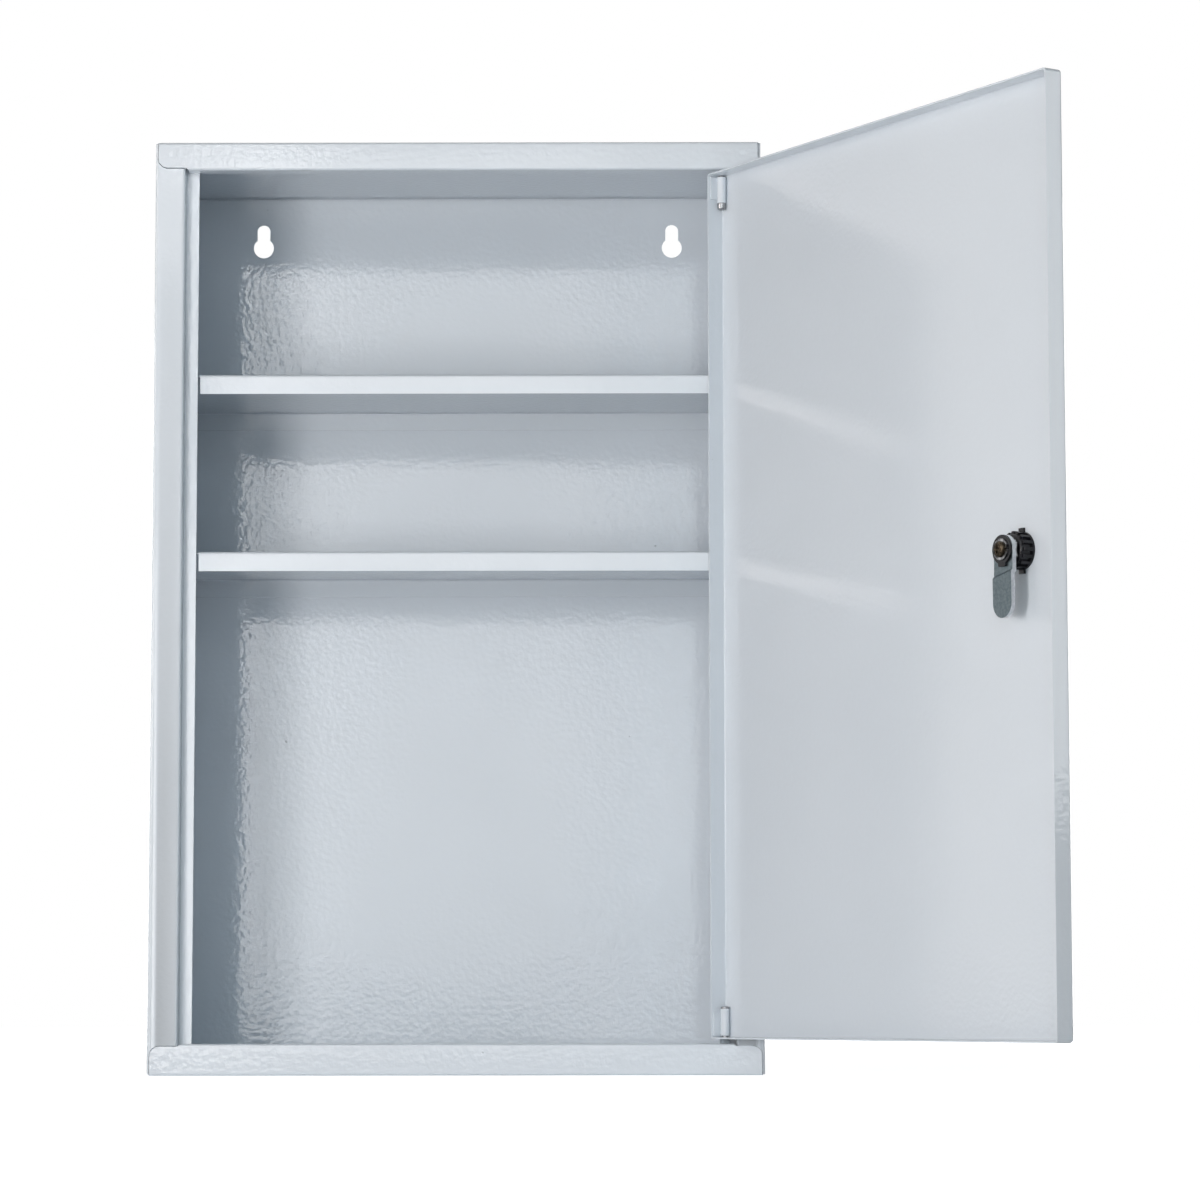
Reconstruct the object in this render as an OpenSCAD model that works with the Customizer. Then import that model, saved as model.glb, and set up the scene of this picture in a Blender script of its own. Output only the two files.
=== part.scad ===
// Lockable wall cabinet for medicines, folded from sheet steel.
// Two fixed shelves, a pan door on pin hinges, and a cam lock.
// Origin: midway between the two keyhole circles, on the back panel's rear face.
// +X to the hinge side, +Y into the wall, +Z up. The door stands open.

/* [Cabinet] */
// Outside width of the cabinet
cab_w = 300; // [260:5:420]
// Outside height of the cabinet
cab_h = 460; // [420:5:600]
// Outside depth of the cabinet, door shut
cab_d = 138; // [100:1:220]
// Thickness of the sheet steel
sheet_t = 0.8; // [0.6:0.1:1]
// Inside radius of every fold
fold_r = 0.8; // [0.5:0.1:1]

/* [Front frame] */
// Width of the front lip on the lock side
lock_lip_w = 14.75; // [13:0.25:20]
// Width of the front lip on the hinge side
hinge_lip_w = 13.6; // [12.5:0.1:20]
// Height of the front lip along the top
top_lip_h = 14; // [13:0.5:20]
// Height of the front lip along the bottom
bottom_lip_h = 15.3; // [13:0.1:20]
// Depth of the ledge folded back from the top and bottom lips
ledge_d = 8.5; // [6:0.1:9]
// Width of the door stop beside the opening
stop_w = 6.15; // [4:0.05:8]
// Gap between the shut door's flange and its stop
stop_gap = 0.3; // [0.2:0.1:1]
// How far the lip ends stand in from the cabinet's sides
tab_inset = 1.4; // [1:0.1:3]
// How much shorter the lip ends are than the lip
tab_step = 1.2; // [0.6:0.1:2]
// Corner radius of the lip ends
tab_corner_r = 4.7; // [2:0.1:8]

/* [Back] */
// Width of the flange round the back of the cabinet
rear_flange_w = 12; // [8:0.5:14]
// Height of the flanges that hold the top and bottom to the sides
side_flange_h = 12; // [8:0.5:14]
// Distance from the cabinet's side to a keyhole's centre
key_inset = 42; // [30:1:60]
// Distance from the cabinet's top to a keyhole's centre
key_drop = 27.3; // [26:0.1:40]
// Diameter of a keyhole's circle
key_d = 10.5; // [9:0.5:14]
// Width of a keyhole's slot
key_slot_w = 6.7; // [4:0.1:7]
// Height of the slot's round end above the circle's centre
key_rise = 9; // [8:0.5:10]

/* [Shelves] */
// Height of the upper shelf's top face
upper_shelf_z = 345; // [320:1:380]
// Height of the lower shelf's top face
lower_shelf_z = 256.7; // [200:0.1:290]
// Height of the fold along a shelf's edges
shelf_lip_h = 9.7; // [6:0.1:14]
// Gap between a shelf's front and the door stops
shelf_end_gap = 1.25; // [0.5:0.05:3]

/* [Door] */
// Gap beside the shut door on the lock side
door_gap_lock = 1.45; // [1:0.05:3]
// Gap beside the shut door on the hinge side
door_gap_hinge = 2.6; // [2.5:0.1:4]
// Gap above the shut door
door_gap_top = 2; // [1.5:0.1:3]
// Gap below the shut door
door_gap_bottom = 2.2; // [1.5:0.1:3]
// Depth of the flange round the door
door_flange_d = 9.5; // [8:0.1:10.5]
// Angle at which the door stands open
door_open = 122.3; // [80:0.1:122.3]

/* [Hinges] */
// Outside diameter of a knuckle
knuckle_d = 4.4; // [4:0.1:5]
// Length of a knuckle
knuckle_h = 12.9; // [8:0.1:30]
// Diameter of a hinge pin
pin_d = 3; // [2:0.1:3.2]
// Diameter of a pin's head
pin_head_d = 4.2; // [3.6:0.1:5]
// Height of the upper pin's head
upper_head_h = 3.4; // [1:0.1:4]
// Height of the lower pin's head
lower_head_h = 1.2; // [1:0.1:4]
// How far a pin passes through the ledge
pin_reach = 1.2; // [0.6:0.1:3]
// Width of the leaf welded to the door's flange
leaf_w = 5.4; // [3:0.1:6]
// Thickness of the leaf
leaf_t = 0.9; // [0.6:0.1:1]
// How much shorter the leaf is than its knuckle
leaf_short = 1.8; // [0:0.1:4]
// Outside diameter of the spacer under the door
spacer_d = 5.2; // [4.6:0.1:6]

/* [Lock] */
// Distance from the door's free edge to the lock's centre
lock_inset = 30.6; // [30.4:0.1:31.2]
// Distance from the lower shelf's top face down to the lock's centre
lock_drop = 23.4; // [22:0.1:60]
// Diameter of the lock's barrel
barrel_d = 12; // [11:0.5:13]
// Width across the flats of the barrel
barrel_flat_w = 10.6; // [9.5:0.1:10.9]
// Diameter of the bezel on the outside of the door
bezel_d = 18.4; // [15:0.1:24]
// Height of the bezel
bezel_h = 2.2; // [1.5:0.1:4]
// Diameter of the turning plug
plug_d = 9; // [8:0.1:9.4]
// Diameter of the plug's face
plug_face_d = 10.6; // [9.6:0.1:12]
// Depth of the plug's face
plug_face_h = 1.2; // [0.6:0.1:1.4]
// Distance from the door's outer face to the back of the cam's root
cam_stand_off = 10; // [9.8:0.1:11]
// Diameter over the ribs of the ring nut
nut_d = 17; // [15:0.1:20]
// Height of the ring nut
nut_h = 5.9; // [4:0.1:6.5]
// Number of ribs round the ring nut
nut_ribs = 16; // [12:2:20]
// Thickness of the lugged washer under the ring nut
lug_washer_t = 1.2; // [0.8:0.1:1.4]
// Distance from the lock's centre to a lug's end
lug_reach = 10.2; // [9.8:0.1:12]

/* [Cam] */
// Width of the cam
cam_w = 13.2; // [10:0.1:14]
// Thickness of the cam
cam_t = 2; // [1.5:0.1:2.5]
// Distance from the lock's centre to the cam's tip
cam_reach = 30.3; // [29:0.1:30.6]
// Distance from the lock's centre to the cam's step
cam_step_at = 10.6; // [9:0.1:14]
// Height of the cam's step
cam_step_h = 0.8; // [0.6:0.1:1.2]
// Diameter of the stop disc on the cam
disc_d = 13; // [10:0.1:13.2]
// Thickness of the stop disc
disc_t = 1; // [0.6:0.1:1.5]
// Diameter of the spring washer
spring_washer_d = 9.6; // [8.6:0.1:10.5]
// Thickness of the spring washer
spring_washer_t = 0.7; // [0.5:0.1:1.2]
// Diameter of the cam screw's head
screw_head_d = 7.2; // [7:0.1:9]
// Height of the cam screw's head
screw_head_h = 1.9; // [1.5:0.1:3]
// Diameter of the cam screw's shank
screw_d = 4; // [3:0.1:4.2]

/* [Wafers] */
// Number of wafers in the plug
wafer_count = 4; // [2:1:4]
// Distance from one wafer to the next
wafer_pitch = 1.5; // [1.4:0.05:1.6]
// Thickness of a wafer
wafer_t = 0.6; // [0.4:0.1:0.7]
// Width of a wafer
wafer_w = 4; // [3.6:0.1:4.2]
// Height of a wafer
wafer_h = 7.4; // [6:0.1:7.6]
// Diameter of a wafer's spring
wafer_spring_d = 1.1; // [0.8:0.1:1.2]

/* [Hidden] */

$fn = 64;

// Paint and metal colours
PAINT = [0.86, 0.88, 0.91];
PAINT_INSIDE = [0.80, 0.83, 0.87];
ZINC = [0.62, 0.65, 0.67];
BLACK_PLASTIC = [0.08, 0.08, 0.09];
STEEL = [0.70, 0.71, 0.73];
BRASS = [0.62, 0.52, 0.36];
GREY_NYLON = [0.25, 0.26, 0.28];

// Small clearances between pieces
seam_gap = 0.3;
weld_gap = 0.1;
run_gap = 0.05;
snug_gap = 0.03;
loose_gap = 0.1;
cut_extra = 1;

// The sheet's outside fold radius, and how far a fold runs on into the flat sheet
fold_out = fold_r + sheet_t;
fold_lap = 0.1;
half_w = cab_w / 2;

// Side lips lie one sheet behind the ends of the top and bottom lips
side_lip_y = sheet_t;

// Faces of the frame beside the opening
opening_lock_x = -half_w + lock_lip_w;
opening_hinge_x = half_w - hinge_lip_w;

// The shut door's edges
door_lock_x = opening_lock_x + door_gap_lock;
door_hinge_x = opening_hinge_x - door_gap_hinge;
door_bottom_z = bottom_lip_h + door_gap_bottom;
door_top_z = cab_h - top_lip_h - door_gap_top;

// The hinge line sits in the corner of the door's folds
knuckle_r = knuckle_d / 2;
pivot_in = sheet_t + weld_gap + knuckle_r;
pivot_x = door_hinge_x - pivot_in;
pivot_y = pivot_in;

// Heights of the knuckles' outer ends, clear of the door's folds
lower_knuckle_z = door_bottom_z + fold_out + snug_gap;
upper_knuckle_z = door_top_z - fold_out - snug_gap;

// How far each pin runs past its knuckle's outer end
lower_pin_tip = lower_knuckle_z - bottom_lip_h + sheet_t + pin_reach;
upper_pin_tip = cab_h - top_lip_h + sheet_t + pin_reach - upper_knuckle_z;

// The door's hinge flange swings past the hinge-side stop
flange_swing_r = norm([pivot_in, door_flange_d - pivot_in]);
swing_gap = 0.7;
lock_stop_y = door_flange_d + stop_gap;
hinge_stop_y = ceil(10 * (pivot_y + flange_swing_r + swing_gap)) / 10;

// Inner edges of the stops, alike on both sides of the opening
stop_edge_x = -(opening_lock_x + stop_w);
hinge_stop_w = opening_hinge_x - stop_edge_x;

// Side panels' folds end where those of the top and bottom begin; an outer strip runs on
side_end_gap = fold_out;
strip_end_gap = 0.5;
side_strip_w = tab_inset - 0.2;

// The back panel lies against the rear flange
back_front_y = cab_d - 2 * sheet_t;

// Shelves
shelf_front_y = lock_stop_y;
shelf_front_x = stop_edge_x - shelf_end_gap;
shelf_wide_y = hinge_stop_y + sheet_t + shelf_end_gap;

// Lock's place on the shut door
lock_x = door_lock_x + lock_inset;
lock_z = lower_shelf_z - lock_drop;

// Lengths along the lock, from the door's outer face inwards
barrel_end = cam_stand_off - weld_gap;
cam_front = cam_stand_off + cam_t;
disc_front = cam_front + disc_t;
spring_washer_front = disc_front + spring_washer_t;

// Plug: square end for the cam, screw hole and keyway
plug_drive_w = 6.2;
screw_bore_depth = 4.4;
keyway_w = 1.8;
keyway_h = 6;

// Wafers and their springs
wafer_first = 1.6;
wafer_slot_gap = 0.1;
wafer_window_w = 2;
wafer_window_h = 3.4;
wafer_ledge_w = 1.5;
wafer_ledge_h = 0.8;
spring_len = 3.2;
spring_x = wafer_w / 2 + wafer_ledge_w / 2;
wafer_groove_depth = 0.7;
wafer_groove_clear = 0.2;

// Ring nut, lugs, and the tab of the stop disc
nut_rib_h = 0.8;
nut_rib_w = 1.6;
nut_rib_end = 0.3;
nut_bevel = 0.9;
lug_w = 3.4;
disc_tab_w = 5;
disc_tab_reach = 7.6;

// Crossed recess of the cam screw
cross_slot_w = 1.1;
cross_slot_len = 5;
cross_slot_depth = 1.3;

// Bevel on pins, screw head and bezel
bevel = 0.5;

// From cabinet coordinates (front face at y 0, bottom at z 0) to the origin
module to_origin() {
    translate([0, sheet_t - cab_d, key_drop - cab_h]) children();
}

// From the shut door to the open door
module on_door() {
    to_origin()
        translate([pivot_x, pivot_y, 0])
        rotate([0, 0, door_open])
        translate([-pivot_x, -pivot_y, 0])
        children();
}

// Lock coordinates: z runs inwards from the door's outer face, y points down
module on_lock() {
    on_door() translate([lock_x, 0, lock_z]) rotate([-90, 0, 0]) children();
}

// A straight run of sheet in a section, from one corner to the other
module run(x0, y0, x1, y1) {
    translate([min(x0, x1), min(y0, y1)]) square([abs(x1 - x0), abs(y1 - y0)]);
}

// A quarter fold of sheet in a section; quarter 0 lies towards +x and +y of its centre.
// Its two ends run on a little, into the straight runs that it joins.
module fold(x, y, quarter) {
    translate([x, y]) rotate(90 * quarter) {
        intersection() {
            difference() {
                circle(r = fold_out);
                circle(r = fold_r);
            }
            square(fold_out);
        }
        translate([-fold_lap, fold_r]) square([fold_lap, sheet_t]);
        translate([fold_r, -fold_lap]) square([sheet_t, fold_lap]);
    }
}

// Extrudes a section drawn in y and z along x, from x0 to x1
module along_x(x0, x1) {
    translate([x0, 0, 0]) rotate([90, 0, 90]) linear_extrude(x1 - x0) children();
}

// Extrudes a section drawn in x and z along y, from y0 to y1
module along_y(y0, y1) {
    translate([0, y1, 0]) rotate([90, 0, 0]) linear_extrude(y1 - y0) children();
}

// Section of a side panel in x and y: side, lip, fold back, stop, and rear flange
module side_section(lip_w, stop_y, stop_reach) {
    outer = -half_w;
    inner = outer + lip_w;
    run(outer, side_lip_y + fold_out, outer + sheet_t, cab_d - fold_out);
    fold(outer + fold_out, side_lip_y + fold_out, 2);
    run(outer + fold_out, side_lip_y, inner - fold_out, side_lip_y + sheet_t);
    fold(inner - fold_out, side_lip_y + fold_out, 3);
    run(inner - sheet_t, side_lip_y + fold_out, inner, stop_y - fold_r);
    fold(inner + fold_r, stop_y - fold_r, 1);
    run(inner + fold_r, stop_y, inner + stop_reach, stop_y + sheet_t);
    fold(outer + fold_out, cab_d - fold_out, 1);
    run(outer + fold_out, cab_d - sheet_t, outer + rear_flange_w, cab_d);
}

// A side panel: its outer strip runs up beside the tabs of the end pans, its folds stop short of them
module side_panel(lip_w, stop_y, stop_reach) {
    translate([0, 0, side_end_gap])
        linear_extrude(cab_h - 2 * side_end_gap)
        side_section(lip_w, stop_y, stop_reach);
    translate([0, 0, strip_end_gap])
        linear_extrude(cab_h - 2 * strip_end_gap)
        intersection() {
            side_section(lip_w, stop_y, stop_reach);
            run(-half_w, 0, -half_w + side_strip_w, cab_d);
        }
}

module left_side_panel() {
    color(PAINT) to_origin() side_panel(lock_lip_w, lock_stop_y, stop_w);
}

module right_side_panel() {
    color(PAINT) to_origin() mirror([1, 0, 0]) side_panel(hinge_lip_w, hinge_stop_y, hinge_stop_w);
}

// Flat end of a lip with its round corner, from x0 out to x1, in x and z
module lip_end(x0, x1, tab_h) {
    toward = sign(x1 - x0);
    run(x0, fold_out, x1 - toward * tab_corner_r, tab_h);
    run(x0, fold_out, x1, tab_h - tab_corner_r);
    translate([x1 - toward * tab_corner_r, tab_h - tab_corner_r]) circle(r = tab_corner_r);
}

// Bottom of the cabinet; the top is the same piece turned over, with its own lip
module end_pan(lip_h) {
    tab_x = half_w - tab_inset;
    tab_h = lip_h - tab_step;
    lip_x0 = opening_lock_x + seam_gap;
    lip_x1 = opening_hinge_x - seam_gap;
    plate_x = half_w - sheet_t - fold_out;
    flange_y0 = side_lip_y + fold_out + seam_gap;
    flange_y1 = back_front_y - seam_gap;
    rear_x = half_w - rear_flange_w - seam_gap;
    difference() {
        union() {
            // Plate, with the folds and flanges inside the two side panels
            translate([-plate_x, fold_out, 0]) cube([2 * plate_x, cab_d - 2 * fold_out, sheet_t]);
            for (m = [0, 1]) mirror([m, 0, 0]) along_y(flange_y0, flange_y1) {
                fold(plate_x, fold_out, 3);
                run(half_w - 2 * sheet_t, fold_out, half_w - sheet_t, side_flange_h);
            }
            // Front fold and the lip, whose ends lie over the side lips
            along_x(-tab_x, tab_x) fold(fold_out, fold_out, 2);
            along_y(0, sheet_t) {
                lip_end(lip_x0, -tab_x, tab_h);
                lip_end(lip_x1, tab_x, tab_h);
                run(lip_x0, fold_out, lip_x1, lip_h - fold_out);
            }
            // Ledge folded back between the side panels, its ends cut at 45 degrees
            intersection() {
                along_x(lip_x0, lip_x1) {
                    fold(fold_out, lip_h - fold_out, 1);
                    run(fold_out, lip_h - sheet_t, ledge_d, lip_h);
                }
                along_y(0, ledge_d) polygon([
                    [lip_x0, 0], [lip_x1, 0], [lip_x1, tab_h],
                    [lip_x1 - tab_step, lip_h], [lip_x0 + tab_step, lip_h], [lip_x0, tab_h]
                ]);
            }
            // Rear fold and flange between the side panels' rear flanges
            along_x(-rear_x, rear_x) {
                fold(cab_d - fold_out, fold_out, 3);
                run(cab_d - sheet_t, fold_out, cab_d, rear_flange_w);
            }
        }
        // Hole for the hinge pin
        translate([pivot_x, pivot_y, lip_h - sheet_t - cut_extra])
            cylinder(d = pin_d + 2 * run_gap, h = sheet_t + 2 * cut_extra);
    }
}

module bottom_panel() {
    color(PAINT) to_origin() end_pan(bottom_lip_h);
}

module top_panel() {
    color(PAINT) to_origin() translate([0, 0, cab_h]) mirror([0, 0, 1]) end_pan(top_lip_h);
}

// Keyhole outline: a circle with a round-ended slot above it
module keyhole() {
    circle(d = key_d);
    translate([-key_slot_w / 2, 0]) square([key_slot_w, key_rise]);
    translate([0, key_rise]) circle(d = key_slot_w);
}

module back_panel() {
    x = half_w - fold_out - weld_gap;
    z = fold_out + weld_gap;
    corner_x = half_w - rear_flange_w;
    corner_z = sheet_t + weld_gap;
    color(PAINT_INSIDE) to_origin() along_y(back_front_y, back_front_y + sheet_t) difference() {
        union() {
            run(-x, z, x, cab_h - z);
            for (side = [-1, 1]) run(side * corner_x, corner_z, side * x, cab_h - corner_z);
        }
        for (side = [-1, 1]) translate([side * (half_w - key_inset), cab_h - key_drop]) keyhole();
    }
}

// Shelf with all its folds turned down; top_z is its top face
module shelf(top_z) {
    outer = half_w - sheet_t;
    plate_x = outer - fold_out;
    rear = back_front_y;
    translate([0, 0, top_z]) mirror([0, 0, 1]) {
        // Plate, narrow between the door stops and full width behind them
        translate([-shelf_front_x, shelf_front_y + fold_out, 0])
            cube([2 * shelf_front_x, rear - shelf_front_y - 2 * fold_out, sheet_t]);
        translate([-plate_x, shelf_wide_y, 0])
            cube([2 * plate_x, rear - shelf_wide_y - fold_out, sheet_t]);
        along_x(-shelf_front_x, shelf_front_x) {
            fold(shelf_front_y + fold_out, fold_out, 2);
            run(shelf_front_y, fold_out, shelf_front_y + sheet_t, shelf_lip_h);
        }
        along_x(-plate_x, plate_x) {
            fold(rear - fold_out, fold_out, 3);
            run(rear - sheet_t, fold_out, rear, shelf_lip_h);
        }
        for (m = [0, 1]) mirror([m, 0, 0]) along_y(shelf_wide_y, rear - fold_out) {
            fold(plate_x, fold_out, 3);
            run(outer - sheet_t, fold_out, outer, shelf_lip_h);
        }
    }
}

module upper_shelf() {
    color(PAINT) to_origin() shelf(upper_shelf_z);
}

module lower_shelf() {
    color(PAINT) to_origin() shelf(lower_shelf_z);
}

// Section of the door across one pair of edges, a to b, with the folds at y0
module door_section(a, b, y0, y1, r) {
    run(a, y0 + r, b, y1);
    run(a + r, y0, b - r, y0 + r);
    for (x = [a + r, b - r]) translate([x, y0 + r]) circle(r = r);
}

// Door outline with round corners, in x and z
module door_outline(inset, r) {
    x0 = door_lock_x + inset;
    x1 = door_hinge_x - inset;
    z0 = door_bottom_z + inset;
    z1 = door_top_z - inset;
    run(x0 + r, z0, x1 - r, z1);
    run(x0, z0 + r, x1, z1 - r);
    for (x = [x0 + r, x1 - r], z = [z0 + r, z1 - r]) translate([x, z]) circle(r = r);
}

// Solid block with round edges that follows the door's outside or its inside
module door_block(inset, depth, r) {
    intersection() {
        linear_extrude(cab_h)
            door_section(door_lock_x + inset, door_hinge_x - inset, inset, depth, r);
        translate([-half_w, 0, 0]) rotate([90, 0, 90]) linear_extrude(cab_w)
            mirror([1, -1]) door_section(door_bottom_z + inset, door_top_z - inset, inset, depth, r);
        along_y(0, depth) door_outline(inset, r);
    }
}

// Round hole with two flats that keeps the barrel from turning
module barrel_shape(gap) {
    intersection() {
        circle(d = barrel_d + 2 * gap);
        square([barrel_flat_w + 2 * gap, barrel_d + 2 * cut_extra], center = true);
    }
}

module door_panel() {
    color(PAINT) on_door() difference() {
        door_block(0, door_flange_d, fold_out);
        door_block(sheet_t, door_flange_d + cut_extra, fold_r);
        translate([pivot_x, pivot_y, 0]) cylinder(d = pin_d + 2 * snug_gap, h = cab_h);
        translate([lock_x, 0, lock_z]) rotate([-90, 0, 0]) translate([0, 0, -cut_extra])
            linear_extrude(sheet_t + 2 * cut_extra) barrel_shape(snug_gap);
    }
}

// Knuckle and leaf standing on z 0, which is the end beside the door's flange
module hinge_knuckle() {
    difference() {
        union() {
            translate([pivot_x, pivot_y, 0]) cylinder(d = knuckle_d, h = knuckle_h);
            translate([door_hinge_x - sheet_t - leaf_t, pivot_y, 0])
                cube([leaf_t, leaf_w, knuckle_h - leaf_short]);
        }
        translate([pivot_x, pivot_y, -cut_extra])
            cylinder(d = pin_d + 2 * snug_gap, h = knuckle_h + 2 * cut_extra);
    }
}

// Headed pin; z 0 is the knuckle's end beside the door's flange, the tip points down
module hinge_pin(tip, head_h) {
    translate([pivot_x, pivot_y, 0]) {
        translate([0, 0, -tip + bevel]) cylinder(d = pin_d, h = knuckle_h + tip - bevel);
        translate([0, 0, -tip]) cylinder(d1 = pin_d - 2 * bevel, d2 = pin_d, h = bevel);
        translate([0, 0, knuckle_h]) cylinder(d = pin_head_d, h = head_h - bevel);
        translate([0, 0, knuckle_h + head_h - bevel])
            cylinder(d1 = pin_head_d, d2 = pin_head_d - 2 * bevel, h = bevel);
    }
}

module lower_hinge_knuckle() {
    color(PAINT) on_door() translate([0, 0, lower_knuckle_z]) hinge_knuckle();
}

module upper_hinge_knuckle() {
    color(PAINT) on_door() translate([0, 0, upper_knuckle_z]) mirror([0, 0, 1]) hinge_knuckle();
}

module lower_hinge_pin() {
    color(STEEL) on_door() translate([0, 0, lower_knuckle_z]) hinge_pin(lower_pin_tip, lower_head_h);
}

module upper_hinge_pin() {
    color(STEEL) on_door() translate([0, 0, upper_knuckle_z]) mirror([0, 0, 1])
        hinge_pin(upper_pin_tip, upper_head_h);
}

// Spacer on the lower pin that carries the door
module hinge_spacer() {
    color(GREY_NYLON) on_door() translate([pivot_x, pivot_y, bottom_lip_h + weld_gap]) difference() {
        cylinder(d = spacer_d, h = door_gap_bottom - weld_gap);
        translate([0, 0, -cut_extra]) cylinder(d = pin_d + 2 * run_gap, h = door_gap_bottom + 2 * cut_extra);
    }
}

// Barrel with its bezel, bored for the plug and its face
module lock_housing() {
    color(ZINC) on_lock() difference() {
        union() {
            translate([0, 0, -bezel_h]) cylinder(d1 = bezel_d - 2 * bevel, d2 = bezel_d, h = bevel);
            translate([0, 0, -bezel_h + bevel]) cylinder(d = bezel_d, h = bezel_h - bevel);
            linear_extrude(barrel_end) barrel_shape(0);
        }
        translate([0, 0, -bezel_h - cut_extra])
            cylinder(d = plug_d + 2 * run_gap, h = bezel_h + barrel_end + 2 * cut_extra);
        translate([0, 0, -bezel_h - cut_extra])
            cylinder(d = plug_face_d + 2 * run_gap, h = plug_face_h + cut_extra + run_gap);
        // Groove above and below the plug for the wafers' ends
        translate([0, 0, wafer_first + wafer_count * wafer_pitch / 2 - wafer_pitch / 2]) cube([
            wafer_w + 2 * wafer_groove_clear,
            plug_d + 2 * wafer_groove_depth,
            wafer_count * wafer_pitch
        ], center = true);
    }
}

// Washer with two lugs, between the door and the ring nut
module lock_lug_washer() {
    color(BLACK_PLASTIC) on_lock() translate([0, 0, sheet_t]) difference() {
        union() {
            cylinder(d = nut_d, h = lug_washer_t);
            translate([-lug_w / 2, -lug_reach, 0]) cube([lug_w, 2 * lug_reach, lug_washer_t]);
        }
        translate([0, 0, -cut_extra]) cylinder(d = barrel_d + 2 * run_gap, h = lug_washer_t + 2 * cut_extra);
    }
}

// Ribbed ring nut that clamps the barrel to the door
module lock_ring_nut() {
    core_d = nut_d - 2 * nut_rib_h;
    color(BLACK_PLASTIC) on_lock() translate([0, 0, sheet_t + lug_washer_t]) difference() {
        union() {
            cylinder(d = core_d, h = nut_h - nut_bevel);
            translate([0, 0, nut_h - nut_bevel])
                cylinder(d1 = core_d, d2 = core_d - 2 * nut_bevel, h = nut_bevel);
            for (i = [0 : nut_ribs - 1]) rotate((i + 0.5) * 360 / nut_ribs)
                translate([core_d / 2 - nut_rib_h, -nut_rib_w / 2, 0])
                cube([2 * nut_rib_h, nut_rib_w, nut_h - nut_bevel - nut_rib_end]);
        }
        translate([0, 0, -cut_extra]) cylinder(d = barrel_d + 2 * run_gap, h = nut_h + 2 * cut_extra);
    }
}

// Height of one wafer along the lock
function wafer_at(i) = wafer_first + i * wafer_pitch;

// Space that one wafer and its spring take, grown by a gap
module wafer_space(gap) {
    slot_t = wafer_t + 2 * gap;
    cube([wafer_w + 2 * gap, plug_d, slot_t], center = true);
    translate([wafer_w / 2 - gap, -spring_len / 2 - wafer_ledge_h - gap, -slot_t / 2])
        cube([wafer_ledge_w + 2 * gap, spring_len + wafer_ledge_h + 2 * gap, slot_t]);
    translate([spring_x, spring_len / 2 + gap, 0]) rotate([90, 0, 0])
        cylinder(d = wafer_spring_d + 2 * gap, h = spring_len + 2 * gap);
}

module lock_plug() {
    color(ZINC) on_lock() difference() {
        union() {
            translate([0, 0, -bezel_h]) cylinder(d = plug_d, h = bezel_h + cam_stand_off);
            translate([0, 0, -bezel_h]) cylinder(d = plug_face_d, h = plug_face_h);
            translate([-plug_drive_w / 2, -plug_drive_w / 2, barrel_end])
                cube([plug_drive_w, plug_drive_w, cam_front - run_gap - barrel_end]);
        }
        translate([-keyway_w / 2, -keyway_h / 2, -bezel_h - cut_extra])
            cube([keyway_w, keyway_h, bezel_h + cut_extra + wafer_at(wafer_count - 1) + wafer_pitch / 2]);
        for (i = [0 : wafer_count - 1]) translate([0, 0, wafer_at(i)]) wafer_space(wafer_slot_gap);
        translate([0, 0, cam_front - screw_bore_depth])
            cylinder(d = screw_d + 2 * snug_gap, h = screw_bore_depth + cut_extra);
    }
}

// One wafer: a plate with a window for the key and a ledge on which its spring pushes
module wafer() {
    difference() {
        union() {
            cube([wafer_w, wafer_h, wafer_t], center = true);
            translate([wafer_w / 2, -spring_len / 2 - wafer_ledge_h, -wafer_t / 2])
                cube([wafer_ledge_w, wafer_ledge_h, wafer_t]);
        }
        cube([wafer_window_w, wafer_window_h, wafer_t + 2 * cut_extra], center = true);
    }
}

module lock_wafers() {
    color(BRASS) on_lock() for (i = [0 : wafer_count - 1]) translate([0, 0, wafer_at(i)]) wafer();
}

// Spring under each wafer's ledge, as the space that its coil fills
module wafer_springs() {
    color(STEEL) on_lock() for (i = [0 : wafer_count - 1])
        translate([spring_x, spring_len / 2, wafer_at(i)]) rotate([90, 0, 0])
        cylinder(d = wafer_spring_d, h = spring_len);
}

// Outline of the cam, hanging down from the lock's centre
module cam_outline() {
    r = cam_w / 2;
    circle(r = r);
    translate([-r, 0]) square([cam_w, cam_reach - r]);
    translate([0, cam_reach - r]) circle(r = r);
}

// Side view of the cam: a flat root, a step, and a flat arm, in y and z
module cam_side() {
    root = -cam_w / 2;
    step_end = cam_step_at + cam_step_h;
    polygon([
        [root, cam_stand_off], [cam_step_at, cam_stand_off],
        [step_end, cam_stand_off + cam_step_h], [cam_reach, cam_stand_off + cam_step_h],
        [cam_reach, cam_front + cam_step_h], [step_end, cam_front + cam_step_h],
        [cam_step_at, cam_front], [root, cam_front]
    ]);
}

module cam_arm() {
    drive_w = plug_drive_w + 2 * snug_gap;
    color(ZINC) on_lock() difference() {
        intersection() {
            linear_extrude(cam_front + 2 * cam_step_h) cam_outline();
            along_x(-cam_w / 2, cam_w / 2) cam_side();
        }
        translate([-drive_w / 2, -drive_w / 2, 0]) cube([drive_w, drive_w, cam_front + cut_extra]);
    }
}

// Disc on the cam, with a tab that marks the cam's direction
module cam_stop_disc() {
    color(BLACK_PLASTIC) on_lock() translate([0, 0, cam_front]) difference() {
        union() {
            cylinder(d = disc_d, h = disc_t);
            translate([-disc_tab_w / 2, 0, 0]) cube([disc_tab_w, disc_tab_reach, disc_t]);
        }
        translate([0, 0, -cut_extra]) cylinder(d = screw_d + 2 * loose_gap, h = disc_t + 2 * cut_extra);
    }
}

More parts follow.
